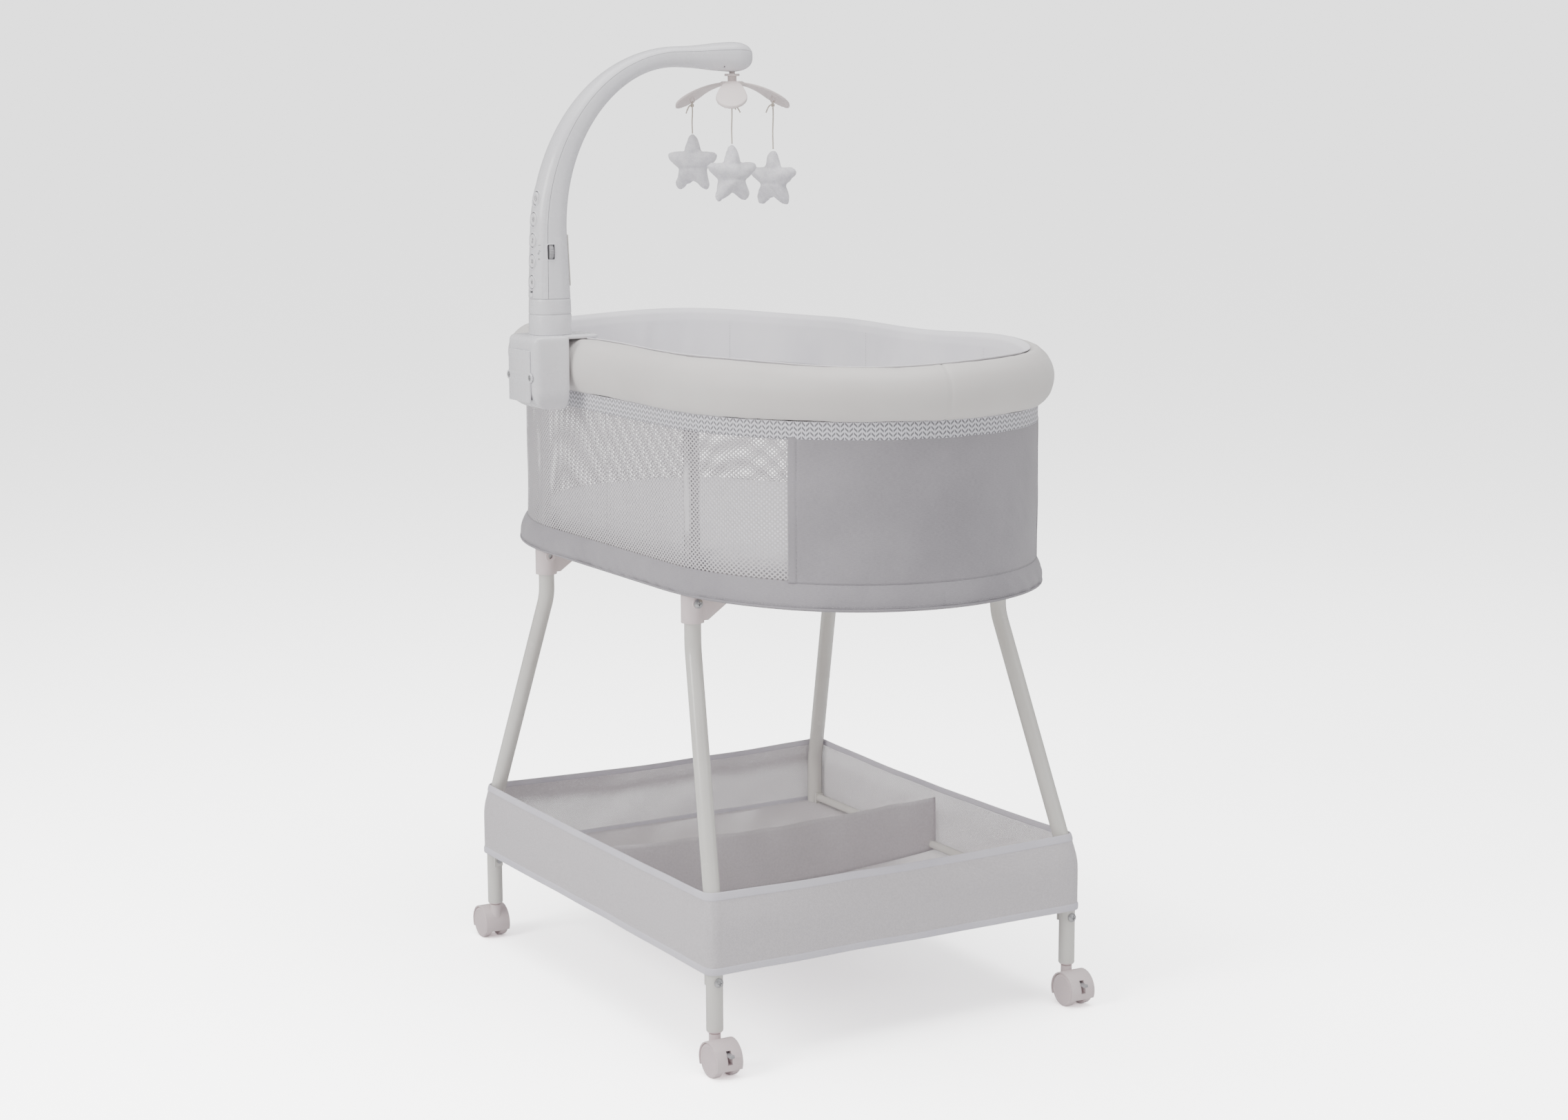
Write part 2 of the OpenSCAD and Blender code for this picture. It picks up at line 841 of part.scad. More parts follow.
// Half depth and half width of the arm at path values 0 to 1 straight, 1 to 2 bend, 2 to 3 head
ARM_DEPTH = [[0, 24], [1, 20.5], [1.3, 17], [1.6, 14], [1.85, 11.5], [2.2, 13], [2.6, 17], [2.8, 17.5],
    [2.9, 15.5], [2.96, 12], [3, 6]];
ARM_WIDTH = [[0, 22], [1, 19.5], [1.5, 16.5], [1.85, 13.5], [2.2, 15], [2.6, 19], [2.8, 19.5],
    [2.9, 17.5], [2.96, 13.5], [3, 7]];
ARM_STEPS = concat(
    [for (i = [0:3]) i / 3],
    [for (i = [1:10]) 1 + i / 10],
    [2.2, 2.4, 2.6, 2.8, 2.9, 2.96, 3]
);

function arm_centre(u) =
    u < 1 ? [-arm_y, arm_z + (arm_bend_z - arm_z) * u]
    : u < 2 ? [
        -arm_y + arm_reach * (1 - cos(90 * (u - 1))),
        arm_bend_z + arm_rise * sin(90 * (u - 1))
    ]
    : [-arm_y + arm_reach + head_len * (u - 2), arm_bend_z + arm_rise];

// Unit vector across the path, towards the back of the arm
function arm_back(u) =
    let(
        a = 90 * min(max(u - 1, 0), 1),
        t = [arm_reach * sin(a), arm_rise * cos(a)] / norm([arm_reach * sin(a), arm_rise * cos(a)])
    )
        [-t.y, t.x];

// Signed power of a squared-off ellipse
function squared(v) = sign(v) * pow(abs(v), 0.78);

// Point of the arm's surface at path value u and angle a, 90 being the back, moved in by a distance
function arm_point(u, a, inset) =
    let(
        c = arm_centre(u),
        n = arm_back(u),
        w = max(lookup(u, ARM_WIDTH) - inset, 0.5),
        d = max(lookup(u, ARM_DEPTH) - inset, 0.5)
    )
        [arm_x + w * squared(cos(a)), c.x + n.x * d * squared(sin(a)), c.y + n.y * d * squared(sin(a))];

// A strip of the arm's shell between two angles, with its back face set in
module arm_strip(steps, a0, a1, count, inset, thick) {
    sheet(
        [for (u = steps) [for (j = [0:count]) arm_point(u, a0 + (a1 - a0) * j / count, inset)]],
        [for (u = steps) [for (j = [0:count]) arm_point(u, a0 + (a1 - a0) * j / count, inset + thick)]]
    );
}

split_a = 22;
split_gap = 0.6;
panel_u = 0.2;
function above(u0) = concat([u0], [for (u = ARM_STEPS) if (u > u0) u]);

// Height of each button and of the switch on the arm's back
BUTTON_Z = [942, 918, 894, 870, 846];
button_r = 7.6;
switch_z = 831.4;
wheel_z = 881;
dial_r = 12;
dial_x = arm_x + 10;
dial_y = -arm_y - 6;

function arm_surface_y(z) = -arm_y - lookup(0.999 * (z - arm_z) / (arm_bend_z - arm_z), ARM_DEPTH);

module dial_room() {
    along_y([dial_x, dial_y - 3, wheel_z])
        cylinder(h = 6, r = dial_r + 0.6);
}

module arm_outer_shell() {
    color([0.89, 0.89, 0.92])
        difference() {
            arm_strip(above(panel_u), split_a + split_gap, 180 - split_a - split_gap, 14, 0, shell_t);
            for (z = BUTTON_Z)
                along_y([arm_x, -arm_y - 30, z])
                    cylinder(h = 20, r = button_r + 0.5);
            translate([arm_x - 3.4, -arm_y - 30, switch_z - 3])
                cube([6.8, 16, 8.1]);
            dial_room();
        }
}

module arm_inner_shell() {
    color([0.89, 0.89, 0.92])
        difference() {
            union() {
                arm_strip(above(panel_u - 0.001), 180 - split_a, 360 + split_a, 18, 0, shell_t);
                sheet(
                    [for (u = [0, panel_u - 0.005]) [for (a = [0:10:350]) arm_point(u, a, 0)]],
                    [for (u = [0, panel_u - 0.005]) [for (a = [0:10:350]) arm_point(u, a, shell_t)]],
                    wrap = true
                );
            }
            dial_room();
            translate([arm_x, 0, arm_bend_z + arm_rise - 30])
                cylinder(h = 20, r = 3.6);
        }
}

module night_light_lens() {
    color([0.96, 0.95, 0.88])
        arm_strip([for (i = [0:5]) 0.35 + 0.13 * i], 248, 292, 6, -1.2, 1);
}

module circuit_board() {
    color([0.2, 0.45, 0.3])
        translate([arm_x - 12, -arm_y - 10.6, 842])
            cube([14, 1, 84]);
}

motor_z = arm_bend_z + arm_rise - 12;

module motor() {
    color([0.6, 0.61, 0.63])
        translate([arm_x, 0, motor_z])
            difference() {
                cylinder(h = 20, r = 11);
                translate([0, 0, -1])
                    cylinder(h = 12, r = 2.06);
            }
}

module arm_base() {
    color([0.88, 0.88, 0.91])
        union() {
            stack([for (z = [house_top + 0.1, arm_z - gap])
                [for (a = [0:10:350]) [
                    arm_x + lookup(0, ARM_WIDTH) * squared(cos(a)),
                    -arm_y + lookup(0, ARM_DEPTH) * squared(sin(a)),
                    z
                ]]]);
            translate([arm_x - 13, -arm_y - 14, arm_z - 4])
                cube([26, 28, 20]);
        }
}

module button(i) {
    face = arm_surface_y(min(BUTTON_Z[i], arm_bend_z)) + (BUTTON_Z[i] > arm_bend_z ? (BUTTON_Z[i] - arm_bend_z) / 8 : 0);
    color([0.92, 0.92, 0.94])
        along_y([arm_x, face - 0.8, BUTTON_Z[i]])
            cylinder(h = 6, r = button_r);
}

module button_timer() button(0);
module button_light() button(1);
module button_music() button(2);
module button_waves() button(3);
module button_spin() button(4);

module power_switch() {
    color([0.8, 0.8, 0.83])
        translate([arm_x - 3, arm_surface_y(switch_z) - 1.4, switch_z - 2.6])
            cube([6, 7, 4.8]);
}

module volume_wheel() {
    color([0.88, 0.88, 0.9])
        along_y([dial_x, dial_y - 2.2, wheel_z])
            difference() {
                cylinder(h = 4.4, r = dial_r);
                for (a = [0:15:345])
                    rotate(a)
                        translate([dial_r + 0.35, 0, -1])
                            cylinder(h = 7, r = 0.8);
            }
}

// ---- the spinning mobile ----

hub_top = motor_z - 17;
dome_r = 118;
blade_t = 3;
leaf_r = 18.5;
leaf_at = 58;
HANG_TURNS = [210, -30, 90];
STAR_TOPS = [1017, 1006, 998];
eye_r = 3.2;
eye_wire = 1;
eye_z = hub_top - dome_r + sqrt((dome_r - blade_t)^2 - hang_r^2) - 4;

module motor_spindle() {
    color([0.9, 0.9, 0.92])
        translate([arm_x, 0, 0]) {
            translate([0, 0, hub_top - 3])
                cylinder(h = 9.8, r = 5.3);
            translate([0, 0, hub_top + 6.6])
                cylinder(h = 2.8, r = 9);
            translate([0, 0, hub_top + 8])
                cylinder(h = motor_z - hub_top - 8.3, r = 3.5);
            translate([0, 0, motor_z - 3])
                cylinder(h = 12, r = 2);
        }
}

module leaf_plan() {
    polygon(concat([[0, 6], [0, -6]], arc(leaf_at, 0, leaf_r, -104, 104, 20)));
}

// A cap with three leaf-shaped arms cut from one dome, each with an eye for its string
module mobile_hub() {
    color([0.9, 0.87, 0.87])
        translate([arm_x, 0, 0])
            difference() {
                union() {
                    intersection() {
                        difference() {
                            translate([0, 0, hub_top - dome_r])
                                sphere(r = dome_r, $fn = 96);
                            translate([0, 0, hub_top - dome_r])
                                sphere(r = dome_r - blade_t, $fn = 96);
                        }
                        translate([0, 0, hub_top - 60])
                            linear_extrude(70)
                                for (turn = HANG_TURNS)
                                    rotate(turn)
                                        leaf_plan();
                    }
                    translate([0, 0, hub_top - 12])
                        cylinder(h = 12.6, r = 13);
                    for (turn = HANG_TURNS)
                        rotate(turn)
                            translate([hang_r, 0, 0]) {
                                translate([0, 0, eye_z])
                                    rotate([90, 0, 0])
                                        rotate_extrude()
                                            translate([eye_r, 0])
                                                circle(eye_wire);
                                translate([0, 0, eye_z + eye_r - 0.3])
                                    cylinder(h = 2.6, r = 1.2);
                            }
                }
                translate([0, 0, hub_top - 3])
                    cylinder(h = 10, r = 5.3);
            }
}

string_r = 0.9;
knot_r = 1.9;

module string(i) {
    knot_z = eye_z - eye_r - eye_wire - knot_r - 0.4;
    color([0.85, 0.81, 0.76])
        rotate_about_hub(i) {
            translate([0, 0, knot_z])
                sphere(r = knot_r);
            translate([0, 0, STAR_TOPS[i] + 0.1])
                cylinder(h = knot_z - STAR_TOPS[i], r = string_r);
        }
}

module rotate_about_hub(i) {
    translate([arm_x + hang_r * cos(HANG_TURNS[i]), hang_r * sin(HANG_TURNS[i]), 0])
        children();
}

module string_left() string(0);
module string_middle() string(1);
module string_right() string(2);

star_w = 31;
star_wave = 8.5;
star_t = 22;
// Direction that each star faces
STAR_FACE = [-55, 0, -64];

function star_r(a) = star_w + star_wave * cos(5 * a) + 1.5 * cos(10 * a);

// A stuffed star: rings of one five-pointed outline that shrink towards the front and back
module star(i) {
    tall = star_w + star_wave + 1.5;
    color([0.87, 0.86, 0.89])
        rotate_about_hub(i)
            translate([0, 0, STAR_TOPS[i] - tall])
                rotate([0, 0, STAR_FACE[i]])
                    rotate([0, 90, 0])
                        stack([for (t = [-1, -0.88, -0.5, 0, 0.5, 0.88, 1])
                            let(k = 0.25 + 0.75 * sqrt(max(1 - t * t, 0)))
                                [for (a = [0:9:351]) [
                                    -star_r(a) * cos(a) * k,
                                    -star_r(a) * sin(a) * k * 0.96,
                                    t * star_t / 2
                                ]]]);
}

module star_left() star(0);
module star_middle() star(1);
module star_right() star(2);

leg_front_left();
leg_front_right();
leg_rear_left();
leg_rear_right();
side_rails();
frame_bolts();
leg_sockets();
cross_bars();
caster_sleeves();
lower_frame();
corner_posts();
upper_frame();
base_board();
mattress_pad();
lower_band();
mesh_wall();
end_panel();
trim_band();
padded_rim();
inner_liner();
basket_walls();
basket_binding();
basket_floor();
basket_divider();
caster_front_left();
caster_front_right();
caster_rear_left();
caster_rear_right();
wheels_front_left();
wheels_front_right();
wheels_rear_left();
wheels_rear_right();
brake_front_left();
brake_front_right();
mount_housing();
clamp_jaw();
battery_door();
door_screws();
batteries();
arm_base();
arm_outer_shell();
arm_inner_shell();
night_light_lens();
circuit_board();
motor();
button_timer();
button_light();
button_music();
button_waves();
button_spin();
power_switch();
volume_wheel();
motor_spindle();
mobile_hub();
string_left();
string_middle();
string_right();
star_left();
star_middle();
star_right();
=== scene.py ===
# %% [markdown]
# # A bassinet on a wheeled stand
# The bassinet is an oval basket of net hung from a padded steel ring. It stands on four bent
# tubes with twin-wheel casters, a cloth basket hangs between the legs, and a plastic arm clamped
# on the rim carries a small spinning mobile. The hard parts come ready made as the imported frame.
# This lesson gives them finishes and makes every soft piece around them.

import json
import math

import bmesh
import bpy
import numpy as np
from mathutils import Matrix, Vector

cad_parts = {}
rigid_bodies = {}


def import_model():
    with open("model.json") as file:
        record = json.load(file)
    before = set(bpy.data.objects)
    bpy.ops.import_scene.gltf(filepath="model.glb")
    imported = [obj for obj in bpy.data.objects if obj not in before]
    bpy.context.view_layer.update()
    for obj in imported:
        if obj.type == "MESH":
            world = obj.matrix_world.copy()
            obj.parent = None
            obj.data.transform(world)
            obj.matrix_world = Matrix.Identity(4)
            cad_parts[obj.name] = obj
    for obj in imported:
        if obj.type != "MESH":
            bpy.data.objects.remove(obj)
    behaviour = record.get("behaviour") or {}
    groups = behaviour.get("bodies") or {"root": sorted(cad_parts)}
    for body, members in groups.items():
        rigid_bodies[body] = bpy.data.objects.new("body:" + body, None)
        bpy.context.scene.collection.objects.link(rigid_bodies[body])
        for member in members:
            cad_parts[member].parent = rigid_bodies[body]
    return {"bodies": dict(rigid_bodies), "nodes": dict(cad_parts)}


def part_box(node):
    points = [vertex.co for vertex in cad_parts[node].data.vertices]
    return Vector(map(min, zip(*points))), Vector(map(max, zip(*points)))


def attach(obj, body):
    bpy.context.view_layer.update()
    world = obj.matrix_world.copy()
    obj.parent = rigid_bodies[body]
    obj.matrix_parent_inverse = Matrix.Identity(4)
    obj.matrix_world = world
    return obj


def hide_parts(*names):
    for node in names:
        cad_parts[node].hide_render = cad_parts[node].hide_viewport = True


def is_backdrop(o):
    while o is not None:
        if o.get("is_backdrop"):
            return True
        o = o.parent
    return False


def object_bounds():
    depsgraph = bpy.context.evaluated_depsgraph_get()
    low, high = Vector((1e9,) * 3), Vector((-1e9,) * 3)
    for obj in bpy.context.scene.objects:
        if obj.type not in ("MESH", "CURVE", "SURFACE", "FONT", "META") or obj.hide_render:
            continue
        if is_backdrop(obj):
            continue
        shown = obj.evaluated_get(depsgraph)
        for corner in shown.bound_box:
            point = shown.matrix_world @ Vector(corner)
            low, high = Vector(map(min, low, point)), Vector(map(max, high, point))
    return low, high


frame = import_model()
cad_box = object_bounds()

# %% [markdown]
# ## The camera
# A product picture is taken with a long lens from a little above the object, so that upright
# edges stay nearly upright. Three vectors give the camera's place: back points from the target
# to the camera, right is level, and up completes the set. Placing it by vectors avoids a
# tracking constraint, and the same numbers give the same picture each time.

# %% Camera
TARGET_Z, DISTANCE = 0.514, 3.34


def linked(name, data):
    """An object that shows this mesh, light or camera, in the scene."""
    obj = bpy.data.objects.new(name, data)
    bpy.context.scene.collection.objects.link(obj)
    return obj


azimuth, elevation, roll = math.radians(60.0), math.radians(9.4), math.radians(-0.3)
level = math.cos(elevation)
back = Vector((math.sin(azimuth) * level, -math.cos(azimuth) * level, math.sin(elevation)))
right = Vector((math.cos(azimuth), math.sin(azimuth), 0))
up = back.cross(right)
camera_data = bpy.data.cameras.new("camera")
camera_data.lens = 63.96
camera_data.sensor_width = 36
camera_data.shift_x = 0.0101
camera_data.shift_y = -0.0031
camera = linked("camera", camera_data)
turn = Matrix((right, up, back)).transposed() @ Matrix.Rotation(roll, 3, "Z")
camera.matrix_world = Matrix.Translation(Vector((0, 0, TARGET_Z)) + back * DISTANCE) @ turn.to_4x4()
bpy.context.scene.camera = camera
print("camera at", [round(x, 3) for x in camera.matrix_world.translation])

# %% [markdown]
# ## Light and floor
# White cloth needs soft light with a clear direction, or its folds vanish. A wide softbox
# overhead does most of the work, a second one on the left models the round forms, and a pale
# sky fills the shadows. The sky and the floor look whiter than the light they throw, as an
# overexposed paper sweep does, so that the white cloth still shows against them. Area lights were
# chosen over a sun, because their soft edges suit cloth.

# %% Softboxes and sky
SKY_LIGHT, SKY_SEEN = 0.54, 2.9


def softbox(name, place, aim, size, watts, tint=(1, 1, 1)):
    """A square area light at place that points at aim: its own -Z axis is turned along the line to aim."""
    data = bpy.data.lights.new(name, "AREA")
    data.size = size
    data.energy = watts
    data.color = tint
    light = linked(name, data)
    light.location = place
    light.rotation_euler = (Vector(aim) - Vector(place)).to_track_quat("-Z", "Y").to_euler()


softbox("overhead", (0.4, -0.2, 3.2), (0, 0, 0.5), 2.6, 80)
softbox("left_key", (0.4, -3.2, 2.0), (0, 0, 0.6), 1.5, 64, (1, 0.99, 0.97))
softbox("right_fill", (3.2, 1.6, 1.4), (0, 0, 0.6), 1.8, 14)
sky = bpy.data.worlds.new("sky")
sky.use_nodes = True
sky_nodes = sky.node_tree.nodes
glow = sky_nodes["Background"]
glow.inputs["Color"].default_value = (1, 1, 1, 1)
glow.inputs["Strength"].default_value = SKY_LIGHT
bright = sky_nodes.new("ShaderNodeBackground")
bright.inputs["Strength"].default_value = SKY_SEEN
choose = sky_nodes.new("ShaderNodeMixShader")
ray = sky_nodes.new("ShaderNodeLightPath")
for k, start in enumerate((ray.outputs["Is Camera Ray"], glow.outputs[0], bright.outputs[0])):
    sky.node_tree.links.new(start, choose.inputs[k])
sky.node_tree.links.new(choose.outputs[0], sky_nodes["World Output"].inputs[0])
bpy.context.scene.world = sky
print("three softboxes and a sky are up")

# %% [markdown]
# ## A short way to write shader maths
# A procedural finish is arithmetic on coordinates: stripes are a fraction of a length, and a net is
# two sets of crossing stripes. Wiring each Math node by hand hides the formula. The class below
# wraps a socket, so that an expression such as 1 - stripe * 0.5 builds its nodes by itself.

# %% Socket values and finishes


class Value:
    """A shader socket that adds a Math node for each operation on it."""

    def __init__(self, finish, socket):
        self.finish, self.socket = finish, socket

    def math(self, operation, *others):
        return self.finish.node("ShaderNodeMath", {"operation": operation}, [self, *others])

    def __add__(self, other):
        return self.math("ADD", other)

    def __radd__(self, other):
        return self.math("ADD", other)

    def __sub__(self, other):
        return self.math("SUBTRACT", other)

    def __rsub__(self, other):
        return self.finish.node("ShaderNodeMath", {"operation": "SUBTRACT"}, [other, self])

    def __mul__(self, other):
        return self.math("MULTIPLY", other)

    def __rmul__(self, other):
        return self.math("MULTIPLY", other)

    def __truediv__(self, other):
        return self.math("DIVIDE", other)

    def fract(self):
        return self.math("FRACT")

    def sine(self):
        return self.math("SINE")

    def size(self):
        return self.math("ABSOLUTE")

    def power(self, other):
        return self.math("POWER", other)

    def most(self, other):
        return self.math("MAXIMUM", other)

    def above(self, other):
        return self.math("GREATER_THAN", other)

    def ease(self, low, high):
        """0 below low, 1 above high, and a smooth step between them."""
        inputs = {"Value": self, "From Min": low, "From Max": high}
        return self.finish.node("ShaderNodeMapRange", {"interpolation_type": "SMOOTHSTEP"}, inputs)


def tone(r, g, b):
    """A colour picked on a screen, 0 to 255, as the linear light that a shader works in."""
    c = np.array([r, g, b]) / 255
    linear = np.where(c <= 0.04045, c / 12.92, ((c + 0.055) / 1.055) ** 2.4)
    return (*linear.tolist(), 1.0)


class Finish:
    """A material with one Principled shader, and short ways to add nodes in front of it."""

    def __init__(self, name, base, rough, **fixed):
        self.material = bpy.data.materials.new(name)
        self.material.use_nodes = True
        self.tree = self.material.node_tree
        self.shader = self.tree.nodes["Principled BSDF"]
        self.set(base=base, rough=rough)
        for socket, value in fixed.items():
            self.shader.inputs[socket.replace("_", " ").title().replace("Ior", "IOR")].default_value = value

    def feed(self, socket, value):
        if isinstance(value, Value):
            self.tree.links.new(value.socket, socket)
        else:
            socket.default_value = value

    def node(self, kind, settings=None, inputs=None, output=0):
        """A node of this kind: its settings first, then its inputs by name or in order."""
        made = self.tree.nodes.new(kind)
        for key, value in (settings or {}).items():
            setattr(made, key, value)
        if isinstance(inputs, dict):
            for key, value in inputs.items():
                self.feed(made.inputs[key], value)
        else:
            for k, value in enumerate(inputs or []):
                self.feed(made.inputs[k], value)
        return Value(self, made.outputs[output])

    def place(self):
        return self.node("ShaderNodeTexCoord", output=3)

    def cloth(self):
        """The piece's own UV map in metres, as two values: along the cloth and across it."""
        uv = self.node("ShaderNodeUVMap", {"uv_map": "cloth"})
        parts = self.tree.nodes.new("ShaderNodeSeparateXYZ")
        self.feed(parts.inputs[0], uv)
        return Value(self, parts.outputs[0]), Value(self, parts.outputs[1])

    def noise(self, scale, detail=2.0, where=None, rough=0.5):
        inputs = {"Vector": where or self.place(), "Scale": scale, "Detail": detail, "Roughness": rough}
        return self.node("ShaderNodeTexNoise", None, inputs)

    def mix(self, amount, first, second):
        """A colour between two others."""
        return self.node(
            "ShaderNodeMix", {"data_type": "RGBA"}, {0: amount, 6: first, 7: second}, output=2
        )

    def set(self, base=None, rough=None, height=None, depth=0.001, strength=1.0, alpha=None):
        for name, value in (("Base Color", base), ("Roughness", rough), ("Alpha", alpha)):
            if value is not None:
                self.feed(self.shader.inputs[name], value)
        if height is not None:
            inputs = {"Strength": strength, "Distance": depth, "Height": height}
            self.feed(self.shader.inputs["Normal"], self.node("ShaderNodeBump", None, inputs))
        return self


print("shader values and finishes can be written as formulas")

# %% Paper floor
FLOOR_LIGHT, FLOOR_SEEN = 0.9, 4.3
floor_finish = Finish("pale_floor", tone(246, 246, 247), 0.6)
seen = floor_finish.node("ShaderNodeLightPath")
paper = floor_finish.tree.nodes.new("ShaderNodeBsdfDiffuse")
shades = [(level, level, level, 1) for level in (FLOOR_LIGHT, FLOOR_SEEN)]
floor_finish.feed(paper.inputs["Color"], floor_finish.mix(seen, *shades))
surface_socket = floor_finish.tree.nodes["Material Output"].inputs["Surface"]
floor_finish.tree.links.new(paper.outputs[0], surface_socket)
bpy.ops.mesh.primitive_plane_add(size=60, location=(0, 0, 0))
floor = bpy.context.active_object
floor.name = "floor"
floor.data.materials.append(floor_finish.material)
floor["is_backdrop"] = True
print("the floor is", floor.dimensions.x, "m wide")

# %% [markdown]
# ## Finishes for hard parts
# Powder paint on steel tube has a faint orange-peel skin under its gloss. Moulded plastic is
# smoother, with a slow waviness, and scuffs change its roughness more than its colour. Each
# finish mixes two close shades with noise, because one flat colour never looks like a real part.

# %% Paint, plastic and metal


def moulded(name, light, dark, rough, peel, **fixed):
    """Plastic or paint: two shades mixed by broad noise, roughness from finer noise, bump from the peel."""
    f = Finish(name, light, rough, **fixed)
    broad = f.noise(9.0, 3.0)
    fine = f.noise(peel, 2.0)
    scuff = f.noise(60.0, 5.0, rough=0.7)
    f.set(
        base=f.mix(broad.ease(0.35, 0.7), light, dark),
        rough=rough + 0.10 * scuff.ease(0.45, 0.75),
        height=fine,
        depth=0.00006,
        strength=0.5,
    )
    return f.material


tube_paint = moulded("tube_paint", tone(224, 222, 217), tone(217, 214, 209), 0.2, 700.0, coat_weight=0.4)
blush_plastic = moulded("blush_plastic", tone(232, 219, 220), tone(225, 210, 212), 0.38, 900.0)
wheel_plastic = moulded("wheel_plastic", tone(229, 214, 216), tone(219, 203, 206), 0.42, 900.0)
white_plastic = moulded("white_plastic", tone(233, 232, 236), tone(228, 227, 232), 0.26, 500.0,
                        coat_weight=0.25)
key_plastic = moulded("key_plastic", tone(238, 237, 240), tone(232, 231, 235), 0.32, 600.0)
grey_plastic = moulded("grey_plastic", tone(168, 167, 170), tone(160, 159, 163), 0.4, 800.0)
cream_plastic = moulded("cream_plastic", tone(233, 222, 220), tone(226, 214, 212), 0.4, 700.0)
lens_plastic = moulded("lens_plastic", tone(240, 238, 228), tone(234, 232, 222), 0.5, 400.0)
board_resin = moulded("board_resin", tone(40, 96, 60), tone(34, 84, 52), 0.4, 900.0)
mark_ink = moulded("mark_ink", tone(120, 119, 122), tone(112, 111, 114), 0.5, 900.0)


def brushed(name, shade):
    """Bare zinc: metal whose roughness follows fine streaks along X."""
    f = Finish(name, shade, 0.35, metallic=1.0)
    streaks = f.node("ShaderNodeMapping", None, {"Vector": f.place(), "Scale": (40.0, 900.0, 900.0)})
    grain = f.noise(1.0, 3.0, streaks)
    f.set(rough=0.25 + 0.25 * grain, height=grain, depth=0.00004, strength=0.4)
    return f.material


zinc = brushed("zinc", tone(188, 188, 190))


def fibre(name):
    """Pressed board: short speckled fibres from one fine noise, which sets both the colour and the bump."""
    f = Finish(name, tone(206, 196, 182), 0.8)
    speck = f.noise(420.0, 6.0, rough=0.8)
    straw = f.mix(speck.ease(0.4, 0.65), tone(206, 196, 182), tone(176, 162, 144))
    f.set(base=straw, height=speck, depth=0.0001)
    return f.material


board = fibre("pressed_board")
print("hard finishes are ready")

# %% [markdown]
# ## Finishes for cloth
# Cloth patterns are laid along the cloth, so they read the piece's own UV map, which holds real
# lengths in metres. A plain weave is two rows of threads that take turns on top. The trim's
# herringbone is slanted dashes that lean the other way in every second column, and the net is two
# families of diagonal stripes whose crossings leave lozenge holes.

# %% Woven cloth


def weave(f, u, v, pitch):
    """Height of a plain weave: crossing rounded threads, the higher one alternating like a chessboard."""
    over = (u * (math.pi / pitch)).sine() * (v * (math.pi / pitch)).sine()
    ribs = (u * (2 * math.pi / pitch)).sine() * 0.25 + (v * (2 * math.pi / pitch)).sine() * 0.25
    return over * 0.5 + ribs


def woven(name, light, dark, rough, pitch=0.0009, depth=0.00012, slub=0.0, **fixed):
    """Plain cloth with a heathered colour: thread-scale noise mixes two shades, stretched along the rows."""
    f = Finish(name, light, rough, **fixed)
    u, v = f.cloth()
    threads = weave(f, u, v, pitch)
    broad = f.noise(14.0, 3.0)
    lengths = f.node("ShaderNodeUVMap", {"uv_map": "cloth"})
    streak = f.node("ShaderNodeMapping", None, {"Vector": lengths, "Scale": (240.0, 1500.0, 1.0)})
    heather = f.noise(1.0, 3.0, streak)
    mixing = broad.ease(0.3, 0.75) * (1 - slub) + heather.ease(0.35, 0.7) * slub
    colour = f.mix(mixing, light, dark)
    f.set(base=colour, rough=rough + 0.1 * broad, height=threads, depth=depth, strength=0.6)
    return f.material


grey_cloth = woven("grey_cloth", tone(168, 164, 170), tone(150, 146, 152), 0.82, slub=0.55, sheen_weight=0.25)
white_cloth = woven("white_cloth", tone(246, 244, 248), tone(239, 237, 243), 0.78, pitch=0.0007,
                    sheen_weight=0.2)
tape_cloth = woven("tape_cloth", tone(228, 225, 234), tone(216, 213, 224), 0.8, pitch=0.0012,
                   depth=0.0002, slub=0.3)
sleeve_cloth = woven("sleeve_cloth", tone(226, 223, 226), tone(216, 213, 217), 0.8)
print("four woven cloths")

# %% Coated rim cloth


def coated(name):
    """Soft coated cloth on the padded rim: almost no weave, a silky sheen and tiny creases."""
    f = Finish(name, tone(233, 229, 226), 0.48, sheen_weight=0.35, sheen_roughness=0.4)
    broad = f.noise(6.0, 3.0)
    grain = f.noise(900.0, 3.0)
    crease = f.noise(55.0, 4.0, rough=0.6)
    f.set(
        base=f.mix(broad.ease(0.35, 0.7), tone(228, 224, 221), tone(221, 216, 213)),
        rough=0.42 + 0.14 * crease,
        height=grain * 0.25 + crease * 0.9,
        depth=0.0004,
        strength=0.35,
    )
    return f.material


rim_cloth = coated("rim_cloth")
print("rim cloth is coated")

# %% Printed trim


def herringbone(name, column=0.0046, rise=0.0052):
    """Printed trim: in each column the height is sheared by the distance across it, one way in even
    columns and the other way in odd ones, and every rise of sheared height holds one grey dash."""
    f = Finish(name, tone(226, 224, 232), 0.8, sheen_weight=0.2)
    u, v = f.cloth()
    across = (u / column).fract()
    odd = ((u / (2 * column)).fract()).above(0.5)
    lean = across * (1 - 2 * odd) + odd
    dash = ((v + lean * column) / rise).fract()
    ink = dash.ease(0.06, 0.12) * (1 - dash.ease(0.54, 0.60))
    ink = ink * across.ease(0.06, 0.12) * (1 - across.ease(0.86, 0.92))
    worn = f.noise(700.0, 2.0).ease(0.2, 0.5) * 0.25 + 0.75
    f.set(
        base=f.mix(ink * worn, tone(234, 232, 240), tone(132, 131, 136)),
        height=weave(f, u, v, 0.0007) - ink * 0.3,
        depth=0.00012,
        strength=0.5,
    )
    return f.material


trim_cloth = herringbone("trim_cloth")
print("trim is printed")

# %% Nets


